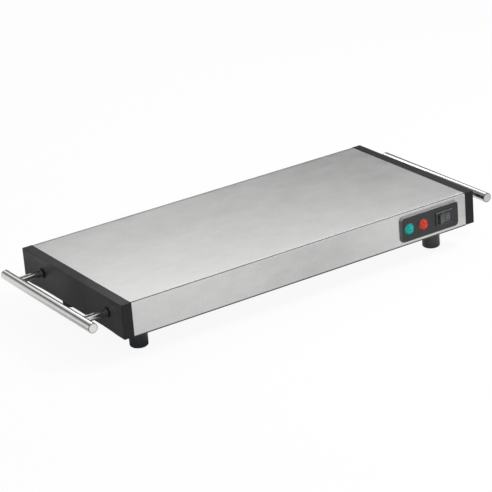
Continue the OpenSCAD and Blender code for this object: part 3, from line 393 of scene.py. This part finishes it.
FINISHES = (
    (steel_sheet, ("housing_cover",)),
    (steel_post, ("left_front_handle_post", "left_back_handle_post", "right_front_handle_post",
                  "right_back_handle_post", "left_handle_bar", "right_handle_bar")),
    (zinc, ("handle_screws", "end_cap_screws", "bottom_plate_screws", "foot_screws", "foot_washers",
            "foot_nuts", "inlet_screws", "inlet_nuts", "clamp_studs", "clamp_nuts",
            "thermostat_screws", "earth_stud", "earth_nut")),
    (galvanised, ("bottom_plate", "left_stiffening_plate", "right_stiffening_plate", "clamp_plate",
                  "thermostat_bracket")),
    (cap_plastic, ("left_end_cap", "right_end_cap", "left_handle_collars", "right_handle_collars")),
    (plate_plastic, ("control_plate", "inlet_body")),
    (switch_black, ("switch_body",)),
    (rocker_plastic, ("switch_rocker",)),
    (rubber, ("front_left_foot", "front_right_foot", "back_left_foot", "back_right_foot")),
    (green_lens, ("green_lamp_lens",)),
    (red_lens, ("red_lamp_lens",)),
    (white_plastic, ("green_lamp_holder", "red_lamp_holder", "terminal_block")),
    (ceramic, ("green_neon_bulb", "red_neon_bulb", "thermostat", "thermal_fuse")),
    (brass, ("switch_contact", "switch_terminals", "inlet_pins")),
    (alloy, ("heat_spreader",)),
    (mica, ("heating_element",)),
    (wool, ("insulation_mat",)),
)
LEADS = {
    "live_lead": (0.10, 0.045, 0.02), "switched_lead": (0.015, 0.015, 0.015),
    "heater_leads": (0.40, 0.02, 0.015), "return_lead": (0.015, 0.06, 0.32),
    "neutral_lead": (0.015, 0.06, 0.32), "earth_lead": (0.09, 0.32, 0.05),
    "lamp_leads": (0.22, 0.22, 0.22),
}


def dress(name, material):
    mesh = nodes[name].data
    mesh.materials.clear()
    mesh.materials.append(material)
    for polygon in mesh.polygons:
        polygon.material_index = 0


for material, names in FINISHES:
    for name in names:
        dress(name, material)
for name, color in LEADS.items():
    dress(name, moulded(name, tuple(c * 0.8 for c in color), color, 0.45, 900.0))


# Mesh helpers

def piece(name, verts, faces, material, slot, body="root", replaces=(), smooth=35.0):
    """A new piece on a body; faces that meet at less than the angle smooth shade as one."""
    mesh = bpy.data.meshes.new(name)
    mesh.from_pydata([tuple(v) for v in verts], [], faces)
    bm = bmesh.new()
    bm.from_mesh(mesh)
    bmesh.ops.remove_doubles(bm, verts=bm.verts, dist=1e-7)
    bmesh.ops.recalc_face_normals(bm, faces=bm.faces)
    bm.to_mesh(mesh)
    bm.free()
    for polygon in mesh.polygons:
        polygon.use_smooth = smooth > 0
    if smooth > 0:
        mesh.set_sharp_from_angle(angle=math.radians(smooth))
    mesh.materials.append(material)
    obj = bpy.data.objects.new(name, mesh)
    scene.collection.objects.link(obj)
    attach(obj, body)
    if replaces:
        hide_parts(*replaces)
    return obj


def soften(obj, width, segments, angle):
    """Rounds the edges sharper than an angle in degrees."""
    bevel = obj.modifiers.new("edges", "BEVEL")
    bevel.width = width
    bevel.segments = segments
    bevel.limit_method = "ANGLE"
    bevel.angle_limit = math.radians(angle)
    bevel.harden_normals = False


def weigh_normals(obj):
    """Keeps large faces flat next to small ones."""
    weighted = obj.modifiers.new("normals", "WEIGHTED_NORMAL")
    weighted.keep_sharp = True
    weighted.weight = 80


def rounded(line, radius, steps=4):
    """A line of points with each inner corner rounded."""
    out = [line[0]]
    for a, b, c in zip(line, line[1:], line[2:]):
        a, b, c = Vector(a), Vector(b), Vector(c)
        back, ahead = a - b, c - b
        reach = min(radius, back.length * 0.48, ahead.length * 0.48)
        start, end = b + back.normalized() * reach, b + ahead.normalized() * reach
        for i in range(steps + 1):
            t = i / steps
            out.append(tuple((1 - t) ** 2 * start + 2 * t * (1 - t) * b + t * t * end))
    out.append(line[-1])
    return out


def ring_points(radius, sides, shift=0.0):
    """Points around a circle; shift turns it by a share of one side."""
    angles = (2 * math.pi * (k + shift) / sides for k in range(sides))
    return [(radius * math.cos(a), radius * math.sin(a)) for a in angles]


def turn_solid(line, spot, sides):
    """Vertices and faces of a line of (r, h) points turned about the Z axis of the matrix spot."""
    verts, faces, rows = [], [], []
    for r, h in line:
        ring = [(0, 0)] if r < 1e-9 else ring_points(r, sides)
        rows.append(range(len(verts), len(verts) + len(ring)))
        verts += [spot @ Vector((x, y, h)) for x, y in ring]
    for low, high in zip(rows, rows[1:]):
        for k in range(sides):
            m = (k + 1) % sides
            if len(low) == 1:
                faces.append((low[0], high[m], high[k]))
            elif len(high) == 1:
                faces.append((low[k], low[m], high[0]))
            else:
                faces.append((low[k], low[m], high[m], high[k]))
    return verts, faces


def lathe(name, line, spot, material, sides=96, **rest):
    return piece(name, *turn_solid(line, spot, sides), material, **rest)


def place(x, y, z, about=None, angle=0.0):
    turn = Matrix.Rotation(math.radians(angle), 4, about) if about else Matrix.Identity(4)
    return Matrix.Translation((x, y, z)) @ turn


def middle(name):
    """A node's middle and size."""
    low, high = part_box(name)
    return (low + high) / 2, high - low


# End caps

# This section is in millimetres. DISH_FLAT is half the length of the dish's even part.
DISH_DEEP, DISH_R, DISH_FLAT, DISH_END_R, DISH_RISE = 2.6, 99.0, 50.0, 408.215, 14.0
CAP_EDGE = 0.6
EDGE_SHARES = (0, 0.08, 0.2, 0.35, 0.52, 0.72, 1.0, 1.6)
STEPS_Y, STEPS_Z = 110, 30
BACK_ROW, CORE_BEHIND = 3, 10   # the core reaches on behind the cap, so its back stays sharp


def dish(y, z):
    """Depth of the shallow dish in an end cap's outer face."""
    away = max(0.0, abs(y) - DISH_FLAT)
    up = z - DISH_RISE
    depth = DISH_DEEP - up * up / (2 * DISH_R) - away * away / (2 * DISH_END_R)
    return max(0.0, depth)


def axis_steps(low, high, count):
    """Even steps with extra ones close to both ends, for a rounded edge."""
    near = [CAP_EDGE * share for share in EDGE_SHARES]
    inner = [low + near[-1] + (high - low - 2 * near[-1]) * i / count for i in range(1, count)]
    return [low + n for n in near] + inner + [high - n for n in reversed(near)]


def end_cap(name, side, node):
    """Cap body with rounded outer edges and the dish, closed behind at the cover's end."""
    box_low, box_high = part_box("right_end_cap")
    low = Vector((X_END / MM, -HALF_W / MM, (box_low.z - Z_LOW) / MM))
    high = Vector((box_high.x / MM, HALF_W / MM, (Z_TOP - Z_LOW) / MM))
    xs = [low.x, low.x + BACK_ROW] + [high.x - CAP_EDGE * share for share in reversed(EDGE_SHARES)]
    ys = axis_steps(low.y, high.y, STEPS_Y)
    zs = axis_steps(low.z, high.z, STEPS_Z)
    core_low = Vector((low.x - CORE_BEHIND, low.y + CAP_EDGE, low.z + CAP_EDGE))
    core_high = Vector((high.x - CAP_EDGE, high.y - CAP_EDGE, high.z - CAP_EDGE))
    verts, faces, index = [], [], {}

    def vertex(x, y, z):
        """Index of a point of the box, drawn in onto its rounded edge and into the dish."""
        key = (round(x, 5), round(y, 5), round(z, 5))
        if key not in index:
            p = Vector((x, y, z))
            core = Vector((min(max(p[i], core_low[i]), core_high[i]) for i in range(3)))
            away = p - core
            if away.length > 1e-9:
                reach = max(abs(away.x), abs(away.y), abs(away.z))
                p = core + away.normalized() * min(CAP_EDGE, reach)
            p.x = min(p.x, high.x - dish(p.y, p.z))
            index[key] = len(verts)
            verts.append(Vector((side * p.x * MM, Y_MID + p.y * MM, Z_LOW + p.z * MM)))
        return index[key]

    def sheet(rows):
        for a, b in zip(rows, rows[1:]):
            faces.extend(zip(a, a[1:], b[1:], b))

    sheet([[vertex(high.x, y, z) for y in ys] for z in zs])
    for y in (low.y, high.y):
        sheet([[vertex(x, y, z) for x in xs] for z in zs])
    for z in (low.z, high.z):
        sheet([[vertex(x, y, z) for x in xs] for y in ys])
    sheet([[vertex(low.x, y, z) for y in ys] for z in zs])
    weigh_normals(piece(name, verts, faces, cap_plastic, "black_plastic", replaces=(node,),
                        smooth=50))


end_cap("left_cap_shell", -1, "left_end_cap")
end_cap("right_cap_shell", 1, "right_end_cap")


# Handles

BAR_EDGE, BAR_FACE_INSET = 0.35 * MM, 1.6 * MM
RIM_WIDE, RIM_LONG = 0.75 * MM, 0.5 * MM        # the rim with a painted dark reflection, in from the radius and the end
COLLAR_HOLE_R, COLLAR_EDGE = 2.0 * MM, 0.35 * MM


def bar(name, node):
    """A handle's bar: flat ends with rounded edges and a painted dark reflection on the rim."""
    centre, size = middle(node)
    r, half = size.x / 2, size.y / 2
    material = turned(name + "_steel", (0.66, 0.66, 0.655), (0.80, 0.80, 0.79), 0.15, centre,
                      r - RIM_WIDE, half - RIM_LONG)
    face_r = r - BAR_FACE_INSET
    line = [(0, -half), (face_r, -half), (r, -half), (r, half), (face_r, half), (0, half)]
    lathe(name, rounded(line, BAR_EDGE, 5), place(*centre, "X", 90), material,
          slot="steel", replaces=(node,), smooth=40)


def collars(name, node, side):
    """The two collars at one end, as one piece."""
    low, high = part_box(node)
    r, deep = (high.z - low.z) / 2, high.x - low.x
    line = rounded([(COLLAR_HOLE_R, 0), (r, 0), (r, deep), (COLLAR_HOLE_R, deep)], COLLAR_EDGE)
    line.append(line[0])
    verts, faces = [], []
    for y in (low.y + r, high.y - r):
        spot = place(low.x if side > 0 else high.x, y, (low.z + high.z) / 2, "Y", 90 * side)
        more_verts, more_faces = turn_solid(line, spot, 64)
        faces += [tuple(len(verts) + i for i in face) for face in more_faces]
        verts += more_verts
    piece(name, verts, faces, cap_plastic, "black_plastic", replaces=(node,))


bar("left_bar", "left_handle_bar")
bar("right_bar", "right_handle_bar")
collars("left_collars", "left_handle_collars", -1)
collars("right_collars", "right_handle_collars", 1)


# Feet

FOOT_BEVEL, FOOT_EDGE = 1.2 * MM, 0.4 * MM
RECESS_R, RECESS_DEEP, SCREW_R = 5 * MM, 12 * MM, 2.1 * MM


def foot(name, node):
    """A round foot with the recess for its screw."""
    centre, size = middle(node)
    r, top = size.x / 2, size.z
    line = rounded([(SCREW_R, RECESS_DEEP), (RECESS_R, RECESS_DEEP), (RECESS_R, 0),
                    (r - FOOT_BEVEL, 0), (r, FOOT_BEVEL), (r, top), (SCREW_R, top)], FOOT_EDGE)
    line.append(line[0])
    lathe(name, line, place(centre.x, centre.y, 0), rubber, slot="rubber", replaces=(node,))


for spot in ("front_left", "front_right", "back_left", "back_right"):
    foot(f"{spot}_rubber", f"{spot}_foot")


# Control plate

PLATE_BEVEL, PLATE_R, PLATE_EDGE, PLATE_FACE_INSET = 1.4 * MM, 4.8 * MM, 0.25 * MM, 2 * MM


def outline(w, h, r, steps=12):
    """Points around a rectangle with rounded corners."""
    points = []
    for cx, cy, start in ((1, 1, 0), (-1, 1, 90), (-1, -1, 180), (1, -1, 270)):
        for i in range(steps + 1):
            a = math.radians(start + 90 * i / steps)
            points.append((cx * (w / 2 - r) + r * math.cos(a), cy * (h / 2 - r) + r * math.sin(a)))
    return points


def front(x, z):
    """Frame on the cover's front: local x to the right, y up, z outwards."""
    return place(x, Y_FRONT, z, "X", 90)


def skin(name, loops, spot, material, **rest):
    """Joins loops of points, all with the same count, into one closed surface."""
    count = len(loops[0])
    verts = [spot @ Vector(p) for loop in loops for p in loop]
    faces = []
    for base in range(0, len(verts) - count, count):
        for k in range(count):
            m = (k + 1) % count
            faces.append((base + k, base + m, base + count + m, base + count + k))
    faces.append(tuple(range(count)))
    faces.append(tuple(range(len(verts) - count, len(verts))))
    return piece(name, verts, faces, material, **rest)


def control_plate():
    centre, size = middle("control_plate")
    section = rounded([(0, 0), (0, PLATE_T - PLATE_BEVEL), (PLATE_BEVEL, PLATE_T),
                       (PLATE_BEVEL + PLATE_FACE_INSET, PLATE_T)], PLATE_EDGE)
    loops = [[(x, y, out) for x, y in outline(size.x - 2 * inset, size.z - 2 * inset,
                                              max(PLATE_R - inset, 0.2 * MM))]
             for inset, out in section]
    weigh_normals(skin("control_panel", loops, front(centre.x, centre.z), plate_black,
                       slot="black_plastic", replaces=("control_plate",), smooth=28))


control_plate()


# Lamp lenses

LENS_SIDES, FACET_EDGE = 12, 0.09 * MM


def lens(name, node, material):
    """A cut-crystal lens: a smooth rim, and a dome of flat facets in four rings."""
    centre, size = middle(node)
    r, peak = size.x / 2, Y_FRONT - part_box(node)[0].y
    spot = front(centre.x, centre.z)
    # Radius, height over the cover, and turn by a share of one side.
    rings = ((r - 0.15 * MM, PLATE_T - 0.2 * MM, 0), (r, PLATE_T + 0.15 * MM, 0),
             (r, PLATE_T + 0.55 * MM, 0), (r - 0.3 * MM, PLATE_T + 0.8 * MM, 0),
             (r - 0.9 * MM, PLATE_T + 0.75 * MM, 0), (r * 0.80, PLATE_T + 1.55 * MM, 0.5),
             (r * 0.60, PLATE_T + 2.45 * MM, 0), (r * 0.36, PLATE_T + 3.1 * MM, 0.5),
             (r * 0.14, peak - 0.02 * MM, 0))
    verts = [spot @ Vector((x, y, height)) for radius, height, shift in rings
             for x, y in ring_points(radius, LENS_SIDES, shift)]
    faces = []
    for i, (lower, upper) in enumerate(zip(rings, rings[1:])):
        base = i * LENS_SIDES
        for k in range(LENS_SIDES):
            m = (k + 1) % LENS_SIDES
            a, b, c, d = base + k, base + m, base + LENS_SIDES + m, base + LENS_SIDES + k
            if upper[2] > lower[2]:
                faces += [(a, b, d), (b, c, d)]
            elif upper[2] < lower[2]:
                faces += [(a, c, d), (a, b, c)]
            else:
                faces.append((a, b, c, d))
    faces.append(tuple(range(len(verts) - LENS_SIDES, len(verts))))
    faces.append(tuple(reversed(range(LENS_SIDES))))
    obj = piece(name, verts, faces, material, node.replace("_lamp", ""), replaces=(node,), smooth=0)
    soften(obj, FACET_EDGE, 2, 12)


lens("green_crystal", "green_lamp_lens", green_lens)
lens("red_crystal", "red_lamp_lens", red_lens)


# Rocker switch

PIVOT = Vector(next(j for j in frame["joints"] if j["name"] == "power_rocker")["pos_m"])
REST_TILT = 9.0
ROCKER_HALF, ROCKER_W, VALLEY, RISE = 7.728 * MM, 10.2 * MM, 2.4 * MM, 1.224 * MM
SOFTNESS, SOFT_LOW, SOFT_SPAN = 0.02, 0.1414, 0.8686        # round the valley between the halves
STEPS = 12                      # in each half of the face
LIP_OUT, LIP_V, BASE_IN, BASE_V = 0.15 * MM, 1.0 * MM, 0.6 * MM, -1.6 * MM
ROCKER_EDGE = 0.35 * MM
MARK_U, MARK_PROUD, MARK_DEEP = 4.1 * MM, 0.08 * MM, 0.2 * MM

ROCKER_FRAME = place(*PIVOT, "Z", REST_TILT) @ Matrix.Rotation(math.radians(90), 4, "X")


def rocker():
    """The rocker's own shape with rounded edges, drawn at rest with its left half raised."""
    line = []
    for i in range(-STEPS, STEPS + 1):
        soft = math.sqrt((i / STEPS) ** 2 + SOFTNESS)
        line.append((ROCKER_HALF * i / STEPS, VALLEY + RISE * (soft - SOFT_LOW) / SOFT_SPAN))
    lip, base = ROCKER_HALF + LIP_OUT, ROCKER_HALF - BASE_IN
    line += [(lip, LIP_V), (base, BASE_V), (-base, BASE_V), (-lip, LIP_V)]
    loops = [[(u, side * ROCKER_W / 2, v) for u, v in line] for side in (-1, 1)]
    obj = skin("rocker_button", loops, ROCKER_FRAME, rocker_plastic, body="rocker",
               slot="switch_plastic", replaces=("switch_rocker",), smooth=30)
    soften(obj, ROCKER_EDGE, 3, 40)
    weigh_normals(obj)


def mark(name, points, faces):
    """A moulded mark that stands a little proud of the rocker's face."""
    verts = [ROCKER_FRAME @ Vector((u, v, VALLEY + abs(u) * RISE / ROCKER_HALF + out))
             for out in (MARK_PROUD, -MARK_DEEP) for u, v in points]
    count = len(points)
    under = [tuple(reversed([i + count for i in face])) for face in faces]
    edges = [edge for face in faces for edge in zip(face, face[1:] + face[:1])]
    rim = [(b, a, a + count, b + count) for a, b in edges if (b, a) not in edges]
    piece(name, verts, faces + under + rim, mark_paint, "white_plastic", body="rocker", smooth=0)


def ring_mark(name, u_mid, r_out, r_in, sides=40):
    points = [(u_mid + x, y) for r in (r_out, r_in) for x, y in ring_points(r, sides)]
    faces = [(k, (k + 1) % sides, sides + (k + 1) % sides, sides + k) for k in range(sides)]
    mark(name, points, faces)


def bar_mark(name, u_mid, w, h):
    corners = ((-1, -1), (1, -1), (1, 1), (-1, 1))
    mark(name, [(u_mid + x * w, y * h) for x, y in corners], [(0, 1, 2, 3)])


rocker()
ring_mark("off_mark", MARK_U, 1.55 * MM, 1.05 * MM)
bar_mark("on_mark", -MARK_U, 0.28 * MM, 1.5 * MM)


# Stage and light

GAP_LEVEL = 0.06                # what a reflection finds between the soft boxes
SOFT_LEVEL = 0.5                # the world's own light on matt surfaces
FLOOR_SIZE, FLOOR_GREY = 8.0, 0.94
FLOOR_SEEN, FLOOR_REFLECTED = 0.92, 0.35        # shares of plain white in the floor's look

# Gaps between the soft boxes, by direction: for x, y and z, where each eases in and out.
FRONT_GAP = (((-0.40, -0.15), (0.30, 0.38)), (None, (-0.45, -0.10)), ((-0.02, 0.08), (0.62, 0.72)))
OVER_GAP = (((0.20, 0.34), (0.62, 0.76)), ((-0.40, -0.32), (0.64, 0.70)), ((0.48, 0.55), None))
# The gap on the left and behind, by its lean from upright to the left and along y.
LEAN_IN, LEAN_OUT = [[math.radians(a) for a in span] for span in ((-12, 24), (26, 86))]
BEHIND = (0.15, 0.45)

# Shades that only reflections find on the floor: two strips along x and off the middle in y,
# one at the left, one at the right, and a slanted patch in front.
STRIPS = ((((-0.238, -0.222), (-0.205, -0.185), 0.85), (None, (0.09, 0.12))),
          (((-0.207, -0.198), (-0.165, -0.145), 0.85), (None, (0.10, 0.12))))
LEFT_LEVEL, LEFT_OUT, LEFT_BACK = 0.55, (-0.300, -0.248), (0.02, 0.18)
RIGHT_LEVEL, RIGHT_IN = 0.36, (0.225, 0.275)
PATCH_LEVEL, PATCH_X, PATCH_Y, PATCH_SLANT = 0.22, 0.025, -0.0975, 0.624
PATCH_OUT, PATCH_BACK = (0.0, 0.12), (-0.13, -0.11)

# Name, place, aim, size, power, and whether reflections show it.
LIGHTS = (
    ("key", (0.65, -0.59, 1.05), (0.05, 0, 0.04), (0.45, 0.45), 10.5, False),
    ("left_box", (-1.1, -1.0, 0.9), (0, 0, 0.03), (0.75, 0.75), 1.2, True),
    ("back_box", (0.1, 1.5, 1.3), (0, 0, 0.03), (1.4, 0.8), 5, False),
)

CARD_CENTRE = Vector((0.389, 0.631 + Y_MID, 0.36))
CARD_FACING = Vector((-0.486, -0.789, -0.375)).normalized()
# Its corners, across and up from its centre.
CARD_OUTLINE = ((-0.45, -0.36), (0.75, -0.36), (0.75, 0.18), (0.10, 0.24), (-0.30, 0.24),
                (-0.30, 0.12), (-0.45, 0.12))
CARD_LEVEL, CARD_LIMITS = 0.56, (0.08, 1.4)
CARD_RISE_UP, CARD_RISE_ACROSS = 5.2, 0.20
CARD_CREST, CREST_SPAN = 1.8, (0.09, 0.16)
CARD_FALL, FALL_SPAN = 0.10, (0.08, 0.40)


def white(n, kind):
    """A background or emission node in white."""
    node = n.add(kind)
    node.inputs["Color"].default_value = (1, 1, 1, 1)
    return node


def glossy_only(n, value):
    """The value for reflections and 0 for all other rays."""
    return n.math("MULTIPLY", value, n.add("ShaderNodeLightPath").outputs["Is Glossy Ray"])


def seen_rays(n, camera=1.0, glossy=1.0):
    """A level for camera and transmission rays, another for reflections, 0 for diffuse light."""
    path = n.add("ShaderNodeLightPath")
    plain = n.highest(path.outputs["Is Camera Ray"], path.outputs["Is Transmission Ray"])
    return n.highest(n.math("MULTIPLY", plain, camera),
                     n.math("MULTIPLY", path.outputs["Is Glossy Ray"], glossy))


def build_world():
    """White for the camera. Reflections also find the dark gaps between the studio's soft boxes."""
    world = bpy.data.worlds.new("studio")
    scene.world = world
    n = Nodes("studio", world)
    x, y, z = n.axes(n.add("ShaderNodeTexCoord").outputs["Generated"])
    front_gap, over_gap = n.zone((x, y, z), FRONT_GAP), n.zone((x, y, z), OVER_GAP)
    lean = n.math("ARCTAN2", n.math("MULTIPLY", x, -1.0), z)
    side_gap = n.product(n.spread(lean, 0, 1, *LEAN_IN), n.spread(lean, 1, 0, *LEAN_OUT),
                         n.window(y, BEHIND))
    gap = glossy_only(n, n.highest(front_gap, side_gap, over_gap))
    soft = white(n, "ShaderNodeBackground")
    soft.inputs["Strength"].default_value = SOFT_LEVEL
    seen = white(n, "ShaderNodeBackground")
    n.put(seen.inputs["Strength"], n.spread(gap, 1.0, GAP_LEVEL))
    n.mix_surfaces(seen_rays(n), soft, seen)


def floor_shade(n):
    """How dark reflections find the floor at each place."""
    x, y, _ = n.axes(n.coords())
    off_middle = n.math("ABSOLUTE", y)
    strips = [n.zone((x, off_middle), spans) for spans in STRIPS]
    left = n.product(n.spread(x, LEFT_LEVEL, 0, *LEFT_OUT), n.window(y, end=LEFT_BACK))
    right = n.window(x, RIGHT_IN, level=RIGHT_LEVEL)
    slanted = n.math("ADD", x, n.math("MULTIPLY", n.math("SUBTRACT", y, PATCH_Y), PATCH_SLANT))
    from_line = n.math("ABSOLUTE", n.math("SUBTRACT", slanted, PATCH_X))
    patch = n.product(n.window(from_line, end=PATCH_OUT, level=PATCH_LEVEL),
                      n.window(y, end=PATCH_BACK))
    return glossy_only(n, n.highest(left, *strips, right, patch))


def build_floor():
    """A plain pale floor, nearly white to the camera, that still takes the object's shadow."""
    mesh = bpy.data.meshes.new("floor")
    corners = [(x * FLOOR_SIZE, y * FLOOR_SIZE, 0) for x, y in ((-1, -1), (1, -1), (1, 1), (-1, 1))]
    mesh.from_pydata(corners, [], [(0, 1, 2, 3)])
    floor = bpy.data.objects.new("floor", mesh)
    scene.collection.objects.link(floor)
    n = Nodes("floor_white")
    shade = floor_shade(n)
    diffuse = n.add("ShaderNodeBsdfDiffuse")
    n.put(diffuse.inputs["Color"], n.blend(shade, (FLOOR_GREY,) * 3, (0.0, 0.0, 0.0)))
    glow = white(n, "ShaderNodeEmission")
    n.put(glow.inputs["Strength"], n.math("SUBTRACT", 1.0, shade))
    n.mix_surfaces(seen_rays(n, FLOOR_SEEN, FLOOR_REFLECTED), diffuse, glow)
    mesh.materials.append(n.mat)


def area_light(name, spot, aim, size, power, reflected):
    data = bpy.data.lights.new(name, "AREA")
    data.shape = "RECTANGLE"
    data.size, data.size_y = size
    data.energy = power
    lamp = bpy.data.objects.new(name, data)
    scene.collection.objects.link(lamp)
    spot, aim = Vector(spot), Vector(aim)
    turn = (aim - spot).to_track_quat("-Z", "Y").to_matrix().to_4x4()
    lamp.matrix_world = Matrix.Translation(spot) @ turn
    lamp.visible_glossy = reflected


def build_card():
    """A card seen only in reflections, lighter upwards and to one side, with a bright crest."""
    up = (Vector((0, 0, 1)) - CARD_FACING * CARD_FACING.z).normalized()
    across = up.cross(CARD_FACING)
    mesh = bpy.data.meshes.new("back_card")
    mesh.from_pydata([tuple(CARD_CENTRE + across * a + up * b) for a, b in CARD_OUTLINE], [],
                     [tuple(range(len(CARD_OUTLINE)))])
    obj = bpy.data.objects.new("back_card", mesh)
    scene.collection.objects.link(obj)
    n = Nodes("back_card")
    from_centre = n.coords((1, 1, 1), tuple(-CARD_CENTRE))
    height, aside = n.dot(from_centre, up), n.dot(from_centre, across)
    level = n.weighted((height, CARD_RISE_UP), (aside, CARD_RISE_ACROSS))
    level = n.highest(n.math("ADD", level, CARD_LEVEL), CARD_LIMITS[0])
    level = n.math("MINIMUM", level, CARD_LIMITS[1])
    level = n.math("ADD", level, n.window(height, CREST_SPAN, level=CARD_CREST))
    level = n.math("SUBTRACT", level, n.window(aside, FALL_SPAN, level=CARD_FALL))
    glow = white(n, "ShaderNodeEmission")
    n.put(glow.inputs["Strength"], level)
    n.tree.links.new(glow.outputs[0], n.out.inputs["Surface"])
    mesh.materials.append(n.mat)
    obj.visible_camera = False
    obj.visible_diffuse = False
    obj.visible_shadow = False
    obj.visible_transmission = False


build_world()
build_floor()
for light in LIGHTS:
    area_light(*light)
build_card()


# View settings and end

scene.view_settings.view_transform = "Standard"
